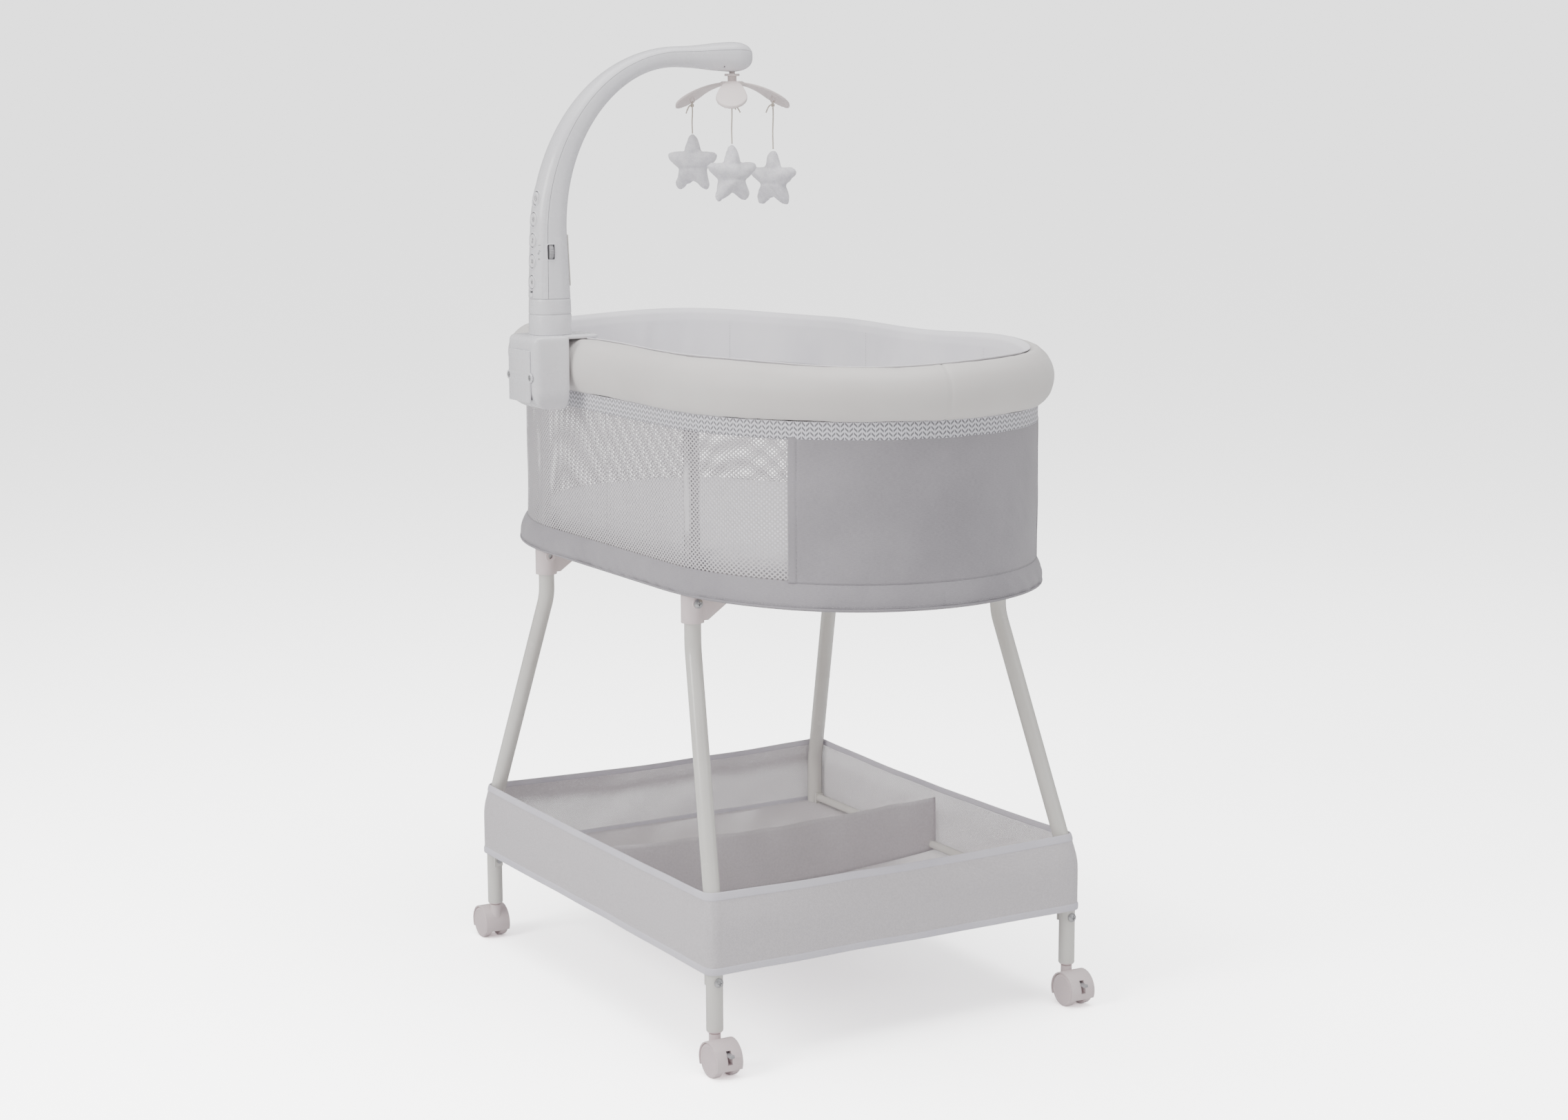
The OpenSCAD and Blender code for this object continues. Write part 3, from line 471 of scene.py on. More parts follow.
def lozenge_net(name, wide, tall, hole, light, dark, thread=0.0002):
    """Open net: with a = u/wide + v/tall and b = u/wide - v/tall, each whole step of a and b is one
    lozenge, and the hole is where both fractions are near their middle."""
    f = Finish(name, light, 0.7, sheen_weight=0.15)
    u, v = f.cloth()
    a = ((u / wide + v / tall).fract() - 0.5).size()
    b = ((u / wide - v / tall).fract() - 0.5).size()
    far = (a * a + b * b).power(0.5) * 0.6 + a.most(b) * 0.4
    solid = far.ease(hole - 0.03, hole + 0.03)
    yarn = f.noise(500.0, 2.0)
    f.set(base=f.mix(yarn.ease(0.35, 0.65), light, dark), alpha=solid, height=far, depth=thread, strength=0.8)
    return f.material


wall_net = lozenge_net("wall_net", 0.0066, 0.0052, 0.33, tone(216, 212, 215), tone(206, 202, 206), 0.0004)
basket_net = lozenge_net("basket_net", 0.0018, 0.0015, 0.26, tone(232, 227, 231), tone(222, 217, 221), 0.0001)
print("two nets are knitted")

# %% Plush, cord and thread


def pile(name, light, dark):
    """Short plush: two octaves of noise stand for tufts, and a strong sheen lights the silhouette."""
    f = Finish(name, light, 0.95, sheen_weight=0.7, sheen_roughness=0.6)
    tufts = f.noise(620.0, 3.0, rough=0.7)
    clumps = f.noise(130.0, 3.0)
    f.set(
        base=f.mix(tufts.ease(0.3, 0.7) * 0.6 + clumps.ease(0.35, 0.7) * 0.4, light, dark),
        height=tufts * 0.7 + clumps * 0.5,
        depth=0.0011,
        strength=0.8,
    )
    return f.material


plush = pile("plush", tone(250, 249, 252), tone(222, 219, 228))


def twisted(name, light, dark, strands=0.0022):
    """Cord: strands run diagonally, from the angle plus the length along the cord. One hump per strand raises
    it and also colours it, light on the crest, with painted shade in the grooves between strands.
    """
    f = Finish(name, light, 0.8)
    u, v = f.cloth()
    ply = (u * 2 + v / strands).fract()
    strand_height_and_shade = (ply * math.pi).sine()
    # The same hump gives height and colour: its low edges take the dark shade, which is painted shade in the
    # grooves between strands.
    f.set(base=f.mix(strand_height_and_shade, dark, light), height=strand_height_and_shade, depth=0.0003, strength=0.9)
    return f.material


# The second, darker shade of each cord is the painted shade of the grooves between its strands.
cotton_cord = twisted("cotton_cord", tone(232, 224, 212), tone(196, 186, 172))
thread = twisted("sewing_thread", tone(214, 211, 216), tone(190, 187, 193), 0.0009)
print("plush, cord and thread are ready")

# %% [markdown]
# ## Grids that become surfaces
# Most soft pieces are one idea: a function of two parameters, worked out on a grid with numpy and
# joined into four-sided faces. Rows that meet again are welded, which closes rings and poles. If a
# closed surface turns out with a negative volume, its faces are turned round to point outwards.

# %% Surfaces
MM = 0.001


def weld_mesh(obj, distance=0.000002):
    """Welds points closer than distance and turns a closed surface to face outwards."""
    bm = bmesh.new()
    bm.from_mesh(obj.data)
    bmesh.ops.remove_doubles(bm, verts=bm.verts, dist=distance)
    bmesh.ops.dissolve_degenerate(bm, edges=bm.edges, dist=1e-7)
    closed = all(len(e.link_faces) == 2 for e in bm.edges)
    if closed and bm.calc_volume(signed=True) < 0:
        bmesh.ops.reverse_faces(bm, faces=bm.faces)
    bm.to_mesh(obj.data)
    bm.free()
    obj.data.shade_smooth()


def surface(name, points, cloth=None, flip=False):
    """points[i, j] is row i, column j. cloth[i, j] holds that point's two lengths along the cloth."""
    points = np.asarray(points, float)
    rows, cols = points.shape[:2]
    first = (np.arange(rows - 1)[:, None] * cols + np.arange(cols - 1)[None]).ravel()
    quads = np.stack([first, first + cols, first + cols + 1, first + 1], 1)
    if flip:
        quads = quads[:, ::-1]
    mesh = bpy.data.meshes.new(name)
    mesh.vertices.add(rows * cols)
    mesh.vertices.foreach_set("co", points.reshape(-1))
    mesh.loops.add(quads.size)
    mesh.loops.foreach_set("vertex_index", np.ascontiguousarray(quads).reshape(-1).astype(np.int32))
    mesh.polygons.add(len(quads))
    mesh.polygons.foreach_set("loop_start", np.arange(0, quads.size, 4, dtype=np.int32))
    mesh.update(calc_edges=True)
    if cloth is not None:
        layer = mesh.uv_layers.new(name="cloth")
        flat = np.asarray(cloth, float).reshape(-1, 2)[quads.reshape(-1)]
        layer.data.foreach_set("uv", flat.reshape(-1).astype(np.float32))
    obj = linked(name, mesh)
    weld_mesh(obj)
    return obj


print("grids can become surfaces, closed ones facing outwards")

# %% Thickness, modifiers and hand-over


def skin(obj, thickness, offset=0.0):
    """Gives an open sheet its thickness."""
    solid = obj.modifiers.new("thickness", "SOLIDIFY")
    solid.thickness = thickness
    solid.offset = offset
    solid.use_even_offset = True


def settle(obj):
    """Applies every modifier by taking the evaluated mesh in the original's place."""
    graph = bpy.context.evaluated_depsgraph_get()
    mesh = bpy.data.meshes.new_from_object(obj.evaluated_get(graph), depsgraph=graph)
    obj.modifiers.clear()
    obj.data = mesh


def hand_over(obj, material, body, slot, *nodes):
    """Finish, body and the nodes that this piece stands for. The slot argument is not used."""
    obj.data.materials.clear()
    obj.data.materials.append(material)
    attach(obj, body)
    if nodes:
        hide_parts(*nodes)
    return obj


print("sheets can be made thick and handed over to their bodies")

# %% Random ripples


def ripple(s, t, seed, waves, length=1.0):
    """A smooth random height: a sum of sines with whole waves along length, so a ring closes on itself."""
    dice = np.random.default_rng(seed)
    total = np.zeros(np.broadcast(s, t).shape)
    for across, along, size in waves:
        for _ in range(3):
            n = max(1, round(along * dice.uniform(0.7, 1.3)))
            m = across * dice.uniform(0.6, 1.4)
            phase = dice.uniform(0, 2 * np.pi)
            total = total + size / 3 * np.sin(2 * np.pi * (n * s / length + m * t) + phase)
    return total


print("a ripple's first height:", ripple(0.0, 0.0, 3, [(1, 7, 1.0)]).round(3))

# %% [markdown]
# ## The oval in plan
# Every ring of the bassinet is parallel to one outline: two straight sides, four shoulder arcs and
# two end arcs that meet without a corner. On each stretch the centre, the radius and the turning
# angle are known, so a point is its centre plus (radius + distance outside) along the angle. A ring
# swept on parallel arcs never pinches, as one scaled from a single ellipse would.

# %% The wall line
SIDE, HALF_W, HALF_L, SHOULDER_R = 0.150, 0.216, 0.404, 0.294
SHOULDER_Y, EXCESS = SHOULDER_R - HALF_W, SHOULDER_R - HALF_L
TIP_X = (SIDE**2 + SHOULDER_Y**2 - EXCESS**2) / (2 * (EXCESS + SIDE))
TIP_R = HALF_L - TIP_X
BEND = math.atan2(TIP_X - SIDE, SHOULDER_Y)
TURN = math.pi / 2 - BEND
SHOULDER_LONG, TIP_LONG = SHOULDER_R * BEND, 2 * TIP_R * TURN
HALF_ROUND = [SHOULDER_LONG, TIP_LONG, SHOULDER_LONG]
STRETCH = np.array([SIDE, *HALF_ROUND, 2 * SIDE, *HALF_ROUND, SIDE])
STARTS = np.concatenate([[0], np.cumsum(STRETCH)])
GIRTH = STARTS[-1]
CENTRE_X = np.array([[0, SIDE], [SIDE] * 2, [TIP_X] * 2, [SIDE] * 2, [SIDE, -SIDE],
                     [-SIDE] * 2, [-TIP_X] * 2, [-SIDE] * 2, [-SIDE, 0]])
CENTRE_Y = SHOULDER_Y * np.array([1, 1, 0, -1, -1, -1, 0, 1, 1])
RADII = np.array([SHOULDER_R, SHOULDER_R, TIP_R] + [SHOULDER_R] * 3 + [TIP_R] + [SHOULDER_R] * 2)
HALF_PI = math.pi / 2
ANGLES = np.array([[-HALF_PI] * 2, [-HALF_PI, -TURN], [-TURN, TURN], [TURN, HALF_PI], [HALF_PI] * 2,
                   [HALF_PI, math.pi - TURN], [math.pi - TURN, math.pi + TURN],
                   [math.pi + TURN, 3 * HALF_PI], [3 * HALF_PI] * 2])


def wall_line(s, out):
    """x and y at length s along the wall, from the middle of the right side, out metres outside it."""
    s = np.mod(s, GIRTH)
    k = np.clip(np.searchsorted(STARTS, s, side="right") - 1, 0, 8)
    f = (s - STARTS[k]) / STRETCH[k]
    centre = CENTRE_X[k, 0] + (CENTRE_X[k, 1] - CENTRE_X[k, 0]) * f
    angle = ANGLES[k, 0] + (ANGLES[k, 1] - ANGLES[k, 0]) * f
    reach = RADII[k] + out
    return centre + reach * np.cos(angle), CENTRE_Y[k] + reach * np.sin(angle)


def band_of(name, s, out, z, flip=False):
    """A surface from arrays of length, distance outside the wall, and height, with its cloth lengths."""
    s, out, z = np.broadcast_arrays(s, out, z)
    x, y = wall_line(s, out)
    step = np.hypot(np.diff(out, axis=1), np.diff(z, axis=1))
    across = np.concatenate([np.zeros((len(s), 1)), np.cumsum(step, 1)], 1) + z[:, :1]
    return surface(name, np.stack([x, y, z], -1), np.stack([s, across], -1), flip)


def rounded(corners, rounds=3):
    """A closed line with its corners cut away again and again, which leaves a smooth loop."""
    p = np.asarray(corners, float)
    for _ in range(rounds):
        q = np.roll(p, -1, 0)
        p = np.stack([0.75 * p + 0.25 * q, 0.25 * p + 0.75 * q], 1).reshape(-1, 2)
    return np.concatenate([p, p[:1]])


TIP_S = STARTS[2] + STRETCH[2] / 2
SEAM_S = TIP_S - 0.018
print("girth of the wall line:", round(GIRTH, 3), "m")

# %% [markdown]
# ## The padded rim
# Foam is wrapped round the steel ring and covered in coated cloth, so the section is a soft
# teardrop that bulges outwards. It is a closed section carried round the outline. Slow ripples
# change its girth, short creases pucker it near the seams, and one cross seam is pulled in.

# %% Rim
SECTION = np.array([(1.2, 717.5), (9, 719.5), (16.5, 729), (20, 742), (19.6, 755), (14.5, 768),
                    (5, 776.6), (-3.5, 778.4), (-10.5, 774.5), (-12.8, 766), (-12.8, 744),
                    (-11, 729), (-5, 718.5)]) * MM
SEAM_WIDE, SEAM_DEEP = 0.0016, 0.0011
WAVES = [(3, 0.0022, 0.8), (7, 0.0012, 2.1)]


def rising(z):
    """0 at the foot of the rim and 1 at its crest, so that the wave lifts only the crest."""
    return np.clip((z - 0.735) / 0.04, 0, 1)


loop = rounded(SECTION)
loop_s = np.linspace(0, GIRTH, 901)[:, None]
middle = loop.mean(0)
away = loop - middle
around = np.linspace(0, 1, len(loop))[None]
bumps = [(1, 7, 0.0009), (2, 19, 0.00045), (4, 46, 0.00018), (7, 90, 0.0001)]
seam = sum(np.exp(-(((loop_s - at) / SEAM_WIDE) ** 2)) for at in (SEAM_S, SEAM_S + GIRTH / 2))
swell = ripple(loop_s, around, 3, bumps, GIRTH) - SEAM_DEEP * seam
unit = away / np.linalg.norm(away, axis=1, keepdims=True)
wave = sum(size * np.sin(2 * np.pi * n * loop_s / GIRTH + lead) for n, size, lead in WAVES)
out, z = loop[None, :, 0], loop[None, :, 1]
rim_z = z + unit[None, :, 1] * swell + wave * rising(z)
rim = band_of("rim_padding", loop_s, out + unit[None, :, 0] * swell, rim_z)
hand_over(rim, rim_cloth, "stand", "rim_cloth", "padded_rim")
print("rim:", len(rim.data.polygons), "faces")

# %% [markdown]
# ## Net wall, trim, privacy panel and bottom band
# The wall is one tight sheet of net between the two rings. Printed trim covers its sewn top edge, a
# grey panel is sewn over one end, and a padded grey band hides the base. The trim and the panel are
# thin closed strips, so their hems have an edge that catches light.

# %% Net wall
NET_LOW, NET_HIGH = 0.5415, 0.7165
wall_s = np.linspace(0, GIRTH, 721)[:, None]
wall_t = np.linspace(0, 1, 25)[None]
looser = ripple(wall_s, wall_t, 5, [(1, 9, 0.9), (1, 23, 0.5)], GIRTH)
slack = 0.0011 * np.sin(np.pi * wall_t) * (1 + looser)
wall = band_of("net_wall", wall_s, -0.0008 - slack, NET_LOW + wall_t * (NET_HIGH - NET_LOW))
skin(wall, 0.0005)
hand_over(wall, wall_net, "stand", "mesh_cloth", "mesh_wall")
print("net wall:", len(wall.data.polygons), "faces")

# %% Herringbone trim
STRIP = np.array([(-0.4, 698.6), (0.5, 697.8), (2.3, 698.4), (2.6, 701), (2.4, 709), (2.6, 715.5),
                  (2.2, 718), (-0.4, 718)]) * MM
strip = rounded(STRIP, 2)
wobble = 0.0002 * ripple(loop_s, 0, 8, [(0, 31, 1.0)], GIRTH)
trim = band_of("trim_strip", loop_s, strip[None, :, 0] + wobble, strip[None, :, 1])
hand_over(trim, trim_cloth, "stand", "trim_cloth", "trim_band")
print("trim:", len(trim.data.polygons), "faces")

# %% Privacy panel
PANEL_LOW, PANEL_HIGH, HEM_WIDE = 0.5435, 0.7005, 0.009
half = TIP_R * TURN - 0.001
panel_s = np.linspace(TIP_S - half, TIP_S + half, 301)[:, None]
panel_t = np.linspace(0, 1, 61)[None]
edge = np.minimum(np.abs(panel_s - panel_s[0]), np.abs(panel_s - panel_s[-1]))
fold = 0.0007 * (1 - np.clip((edge - HEM_WIDE + 0.001) / 0.002, 0, 1))
hem = fold - 0.0006 * np.exp(-(((edge - HEM_WIDE) / 0.0008) ** 2))
puffs = np.abs(ripple(panel_s, panel_t, 11, [(1, 4, 0.0007), (2, 9, 0.0004), (5, 21, 0.00018)], GIRTH / 4))
panel_out = 0.0016 + hem + puffs * np.sin(np.pi * panel_t)
panel = band_of("privacy_panel", panel_s, panel_out, PANEL_LOW + panel_t * (PANEL_HIGH - PANEL_LOW))
skin(panel, 0.0011)
hand_over(panel, grey_cloth, "stand", "grey_cloth", "end_panel")
round(2 * half, 3)
print("panel:", round(2 * half, 3), "m long")

# %% Bottom band
BAND = np.array([(-8, 515), (-4, 513.6), (3, 513.8), (7.2, 516), (8.6, 521), (8.3, 529), (5.6, 537),
                 (2.6, 542.5), (0.6, 545.2), (-1.4, 545.2), (-2.2, 541), (2, 534), (4.4, 527),
                 (4.4, 520), (2, 517), (-8, 516.6)]) * MM
band_loop = rounded(BAND, 2)
band_round = np.linspace(0, 1, len(band_loop))[None]
outer = np.clip((band_loop[None, :, 0] - 0.0045) / 0.003, 0, 1)
turns = loop_s / GIRTH
pull = np.sin(2 * np.pi * (turns * 74 + band_round * 4)) * (0.5 + 0.5 * np.sin(2 * np.pi * turns * 3 + 1.1))
lumps = ripple(loop_s, band_round, 13, [(1, 12, 0.0008), (3, 40, 0.0004)], GIRTH)
wrinkle = outer * (0.0006 * pull * (np.abs(pull) > 0.2) + lumps - 0.0008 * seam)
bottom_band = band_of("bottom_band", loop_s, band_loop[None, :, 0] + wrinkle, band_loop[None, :, 1])
hand_over(bottom_band, grey_cloth, "stand", "grey_cloth", "lower_band")
print("bottom band:", len(bottom_band.data.polygons), "faces")

# %% [markdown]
# ## Piping and stitches
# Piping is a cord under bias tape, and it marks the band's lower edge. Stitches are short raised
# dashes of thread. Each dash is a tiny capsule with a few faces, repeated along a line, because
# hundreds of them have to stay light.

# %% Round cords


def tube(name, path, radius, sides=12, ends=True):
    """A ring of points carried along a path. Each ring lies across the path's direction, and its first
    axis is the previous one with the part along the path taken away, so the tube doesn't twist."""
    path = np.asarray(path, float)
    ahead = np.gradient(path, axis=0)
    ahead /= np.linalg.norm(ahead, axis=1, keepdims=True)
    side = np.cross(ahead[0], (0.31, 0.52, 0.79))
    first = np.empty_like(path)
    for k, direction in enumerate(ahead):
        side = side - direction * side.dot(direction)
        side /= np.linalg.norm(side)
        first[k] = side
    second = np.cross(ahead, first)
    angle = np.linspace(0, 2 * np.pi, sides + 1)
    radius = np.broadcast_to(radius, len(path))
    ring = first[:, None] * np.cos(angle)[None, :, None] + second[:, None] * np.sin(angle)[None, :, None]
    points = path[:, None] + ring * radius[:, None, None]
    along = np.concatenate([[0], np.cumsum(np.linalg.norm(np.diff(path, axis=0), axis=1))])
    cloth = np.stack(np.broadcast_arrays(angle[None] / (2 * np.pi), along[:, None]), -1)
    if ends:
        start, stop = (np.repeat(end[:, None], sides + 1, 1) for end in (path[:1], path[-1:]))
        points = np.concatenate([start, points, stop])
        cloth = np.concatenate([cloth[:1], cloth, cloth[-1:]])
    return surface(name, points, cloth)


def join(name, pieces):
    """One object from several, so a row of small things is a single piece."""
    bm = bmesh.new()
    for piece in pieces:
        bm.from_mesh(piece.data)
        bpy.data.objects.remove(piece)
    mesh = bpy.data.meshes.new(name)
    bm.to_mesh(mesh)
    bm.free()
    mesh.shade_smooth()
    return linked(name, mesh)


print("cords can be carried along a path and joined")

# %% Rows of stitches


def stitches(name, points, long=0.0026, thick=0.00028, every=0.0042):
    """Thread dashes laid along a line of points: each is a six-sided spindle from a to b."""
    points = np.asarray(points, float)
    along = np.concatenate([[0], np.cumsum(np.linalg.norm(np.diff(points, axis=0), axis=1))])
    starts = np.arange(0, along[-1] - long, every)
    a, m, b = (np.stack([np.interp(starts + d, along, points[:, k]) for k in range(3)], -1)
               for d in (0, long / 2, long))
    ahead = (b - a) / np.linalg.norm(b - a, axis=1, keepdims=True)
    side = np.cross(ahead, (0.1, 0.2, 1.0))
    side /= np.linalg.norm(side, axis=1, keepdims=True)
    other = np.cross(ahead, side)
    angle = np.linspace(0, 2 * np.pi, 7)[:-1]
    cosine, sine = np.cos(angle)[None, :, None], np.sin(angle)[None, :, None]
    ring = m[:, None] + thick * (side[:, None] * cosine + other[:, None] * sine)
    vertices = np.concatenate([a[:, None], ring, b[:, None]], 1).reshape(-1, 3)
    here, after = 1 + np.arange(6), 1 + (np.arange(6) + 1) % 6
    fan = np.concatenate([np.stack([np.zeros(6), after, here], 1), np.stack([np.full(6, 7), here, after], 1)])
    faces = (fan[None] + 8 * np.arange(len(starts))[:, None, None]).reshape(-1, 3).astype(int)
    mesh = bpy.data.meshes.new(name)
    mesh.from_pydata(vertices.tolist(), [], faces.tolist())
    mesh.uv_layers.new(name="cloth")
    mesh.shade_smooth()
    return linked(name, mesh)


def along_wall(s, out, z):
    """Points in space from lengths along the wall, distances outside it and heights."""
    s, out, z = np.broadcast_arrays(s, out, z)
    return np.stack([*wall_line(s, out), z], -1)


ring_s = np.linspace(0, GIRTH, 541)
piping = tube("band_piping", along_wall(ring_s, 0.0082, 0.5172), 0.0013, 10, ends=False)
hand_over(piping, grey_cloth, "stand", "grey_cloth")
whole_s = np.linspace(0, GIRTH, 2000)
hem_z, seam_z = np.linspace(0.547, 0.697, 60), np.linspace(0.7185, 0.7665, 60)
rows = [stitches("round", along_wall(whole_s, out, z)) for out, z in ((0.0028, 0.7003), (0.0089, 0.5205))]
for s in (TIP_S - half + HEM_WIDE, TIP_S + half - HEM_WIDE):
    rows.append(stitches("hem", along_wall(s, 0.0025, hem_z)))
for k in range(8):
    rows.append(stitches("liner", along_wall(GIRTH * (k + 0.37) / 8, -0.0180, seam_z), every=0.0034))
hand_over(join("wall_stitching", rows), thread, "stand", "white_cloth")
print("piping and stitching are done")

# %% [markdown]
# ## Liner, mattress pad and post sleeves
# Inside the rim a white cotton liner hangs from the crest, and its fullness falls in soft upright
# folds. The pad lies on the base board. Four posts stand inside the wall in flat cloth sleeves. The
# liner is a strip whose folds grow from the sewn edge downwards.

# %% Liner
LINER_AT = [0, 0.45, 0.72, 0.86, 1]
LINER_OUT = np.array([-17.2, -16.9, -16.0, -13.6, -7.0]) * MM
LINER_Z = np.array([715.5, 745, 765, 774.5, 779.3]) * MM
liner_t = np.linspace(0, 1, 40)[None]
liner_z = np.interp(liner_t, LINER_AT, LINER_Z)
folds = ripple(loop_s, liner_t * 0.3, 17, [(1, 55, 0.0009), (1, 120, 0.0005), (2, 24, 0.0006)], GIRTH)
hang = np.minimum(folds, 0.0006) * (1 - liner_t) ** 0.6 - 0.0002
liner_out = np.interp(liner_t, LINER_AT, LINER_OUT) + hang
liner = band_of("rim_liner", loop_s, liner_out, liner_z + wave * rising(liner_z), flip=True)
skin(liner, 0.0007, -1)
hand_over(liner, white_cloth, "stand", "white_cloth", "inner_liner")
print("liner:", len(liner.data.polygons), "faces")

# %% Mattress pad
QUILT = 0.075
pad_low, pad_high = [np.array(v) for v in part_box("mattress_pad")]
pad_u = np.linspace(0, 1, 64)[None]
crown = np.interp(pad_u, [0, 0.44, 0.5, 0.56, 1], [0, 1, 1.006, 1, 0])
pad_side = np.clip((crown - 0.955) / 0.045, 0, 1)
level = np.where(pad_u < 0.5, -1, 1)
half_thick = 0.5 * (pad_high[2] - pad_low[2])
profile_z = (pad_low[2] + pad_high[2]) / 2 + level * half_thick * (1 - pad_side**2.6) ** (1 / 2.6)
quilt_s = np.linspace(0, GIRTH, 361)[:, None]
edge_x, edge_y = wall_line(quilt_s, -0.0208)
pad_x, pad_y = edge_x * np.minimum(crown, 1), edge_y * np.minimum(crown, 1)
puff = (np.abs(np.sin(pad_x * math.pi / QUILT)) * np.abs(np.sin(pad_y * math.pi / QUILT))) ** 0.5
profile_z = profile_z + np.where(level > 0, 0.0022 * (puff - 1) * (1 - pad_side), 0)
pad_points = np.stack(np.broadcast_arrays(pad_x, pad_y, profile_z), -1)
pad = surface("mattress", pad_points, np.stack([pad_x, pad_y], -1))
hand_over(pad, white_cloth, "stand", "white_cloth", "mattress_pad")
print("mattress pad is", round(2000 * half_thick, 1), "mm thick")

# %% Post sleeves
sleeves = []
low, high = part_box("corner_posts")
turn_a = np.linspace(0, 2 * np.pi, 49)[None]
height = np.linspace(low[2] + 0.002, high[2] - 0.012, 40)[:, None]
wide = 0.0120 + 0.0005 * np.sin(height * 90)
deep = 0.0067 + 0.0002 * np.sin(height * 210 + turn_a * 2)
for sx, sy in ((1, 1), (1, -1), (-1, 1), (-1, -1)):
    post = np.array([sx * 0.187, sy * 0.205])
    out_dir = post - [sx * SIDE, sy * -SHOULDER_Y]
    out_dir /= np.linalg.norm(out_dir)
    along_dir = np.array([-out_dir[1], out_dir[0]])
    x = post[0] + along_dir[0] * wide * np.cos(turn_a) + out_dir[0] * deep * np.sin(turn_a)
    y = post[1] + along_dir[1] * wide * np.cos(turn_a) + out_dir[1] * deep * np.sin(turn_a)
    points = np.stack(np.broadcast_arrays(x, y, height), -1)
    bottom, top = (end.mean(1, keepdims=True).repeat(49, 1) for end in (points[:1], points[-1:]))
    points = np.concatenate([bottom, points, top])
    cloth = np.stack(np.broadcast_arrays(turn_a * 0.009, points[:, :1, 2]), -1)
    sleeves.append(surface("sleeve", points, cloth))
post_sleeves = join("post_sleeves", sleeves)
hand_over(post_sleeves, sleeve_cloth, "stand", "white_cloth")
print(len(sleeves), "post sleeves are in")

# %% [markdown]
# ## The basket
# The storage basket is net cloth bound with tape at top and bottom, and it hangs between the legs.
# Its corners wrap each leg, its sides pull in between them, and its top edge sags. A rounded
# rectangle with a corner that follows the leaning leg gives the shape, as one strip.

# %% Basket outline
# Each corner follows its leg: the foot's place, how far the leg turns in plan, its slope, and its bend.
FOOT_X, FOOT_Y, CORNER_R = 0.288, 0.237, 0.0115
LEG_TURN, LEG_SLOPE, LEG_BEND, BEND_LOW = math.radians(17.58), math.radians(20.46), 0.060, 0.16117
STRAIGHT = 0.9


def leg_shift(z):
    """How far in a leg is at height z: none below the bend, then part of a circle, then a slope."""
    over = z - BEND_LOW
    arc = LEG_BEND * math.sin(LEG_SLOPE)
    bent = LEG_BEND - np.sqrt(np.maximum(LEG_BEND**2 - np.clip(over, 0, arc) ** 2, 0))
    return bent + np.maximum(over - arc, 0) * math.tan(LEG_SLOPE)


def basket_line(s, z, out):
    """s runs 0 to 4, one side each, from the +X side turning towards +Y. A corner arc ends each side."""
    side = np.floor(np.mod(s, 4)).astype(int)
    f = np.mod(s, 1)
    cx, cy = FOOT_X - leg_shift(z) * math.cos(LEG_TURN), FOOT_Y - leg_shift(z) * math.sin(LEG_TURN)
    r = CORNER_R + out
    across = np.where(side % 2 == 0, cy, cx)
    reach = np.where(side % 2 == 0, cx, cy) + r
    flat = np.clip(f / STRAIGHT, 0, 1)
    bend = np.clip((f - STRAIGHT) / (1 - STRAIGHT), 0, 1) * np.pi / 2
    depth = np.where(f < STRAIGHT, reach, reach - r + r * np.cos(bend))
    slide = np.where(f < STRAIGHT, -across + 2 * across * flat, across + r * np.sin(bend))
    angle = side * np.pi / 2
    return depth * np.cos(angle) - slide * np.sin(angle), depth * np.sin(angle) + slide * np.cos(angle), flat


def basket_band(name, out, z, seed, puff=0.0):
    """Rows of s by columns of z: the side pulls in by puff in its middle and its top edge sags."""
    side = np.concatenate([np.linspace(0, STRAIGHT, 70)[:-1], np.linspace(STRAIGHT, 1, 9)[:-1]])
    s = np.append(np.arange(4)[:, None] + side, 4.0)[:, None]
    z, out = np.atleast_2d(z), np.atleast_2d(out)
    x, y, flat = basket_line(s, z, out)
    high = np.clip((z - 0.113) / 0.09, 0, 1)
    bow = np.sin(np.pi * flat) ** 0.7
    crease = ripple(s, high, seed, [(1, 6, 0.0008), (2, 17, 0.0005)], 4) * bow
    pull = puff * bow * (0.4 + 0.6 * high) + crease
    size = np.maximum(np.hypot(x, y), 1e-6)
    x, y = x - pull * x / size, y - pull * y / size
    z = np.broadcast_to(z, x.shape) - 0.0035 * high * bow
    z = z + 0.0006 * ripple(s, 0, seed + 1, [(0, 13, 1.0)], 4) * bow
    width = np.where(np.floor(s) % 2 == 0, 2 * FOOT_Y, 2 * FOOT_X)
    along = np.concatenate([[[0.0]], np.cumsum(np.diff(s, axis=0) * (width[:-1] + 0.03), axis=0)])
    return surface(name, np.stack([x, y, z], -1), np.stack(np.broadcast_arrays(along, z), -1))


print("a leg stands", round(float(leg_shift(0.5)) * 1000), "mm further in at half a metre up")

# %% Basket walls
walls = basket_band("basket_net", 0.0003, np.linspace(0.1165, 0.1995, 16), 21, 0.0035)
skin(walls, 0.0007)
hand_over(walls, basket_net, "stand", "basket_mesh", "basket_walls")
CORNERS = ("front_left", "front_right", "rear_left", "rear_right")
print("basket walls:", len(walls.data.polygons), "faces")

# %% Binding tape
TAPE = np.array([(-0.5, 0), (0.9, -0.1), (1.6, 1), (1.7, 4), (1.5, 7.4), (0.8, 8.3), (-0.5, 8.3),
                 (-0.9, 6), (-0.9, 2)]) * MM
tape = rounded(TAPE, 2)
bands = [basket_band("tape", tape[:, 0], low + tape[:, 1], 21, 0.0035) for low in (0.1130, 0.1948)]
binding = join("basket_binding_tape", bands)
hand_over(binding, tape_cloth, "stand", "binding_tape", "basket_binding")
print("tape binds", len(bands), "edges")

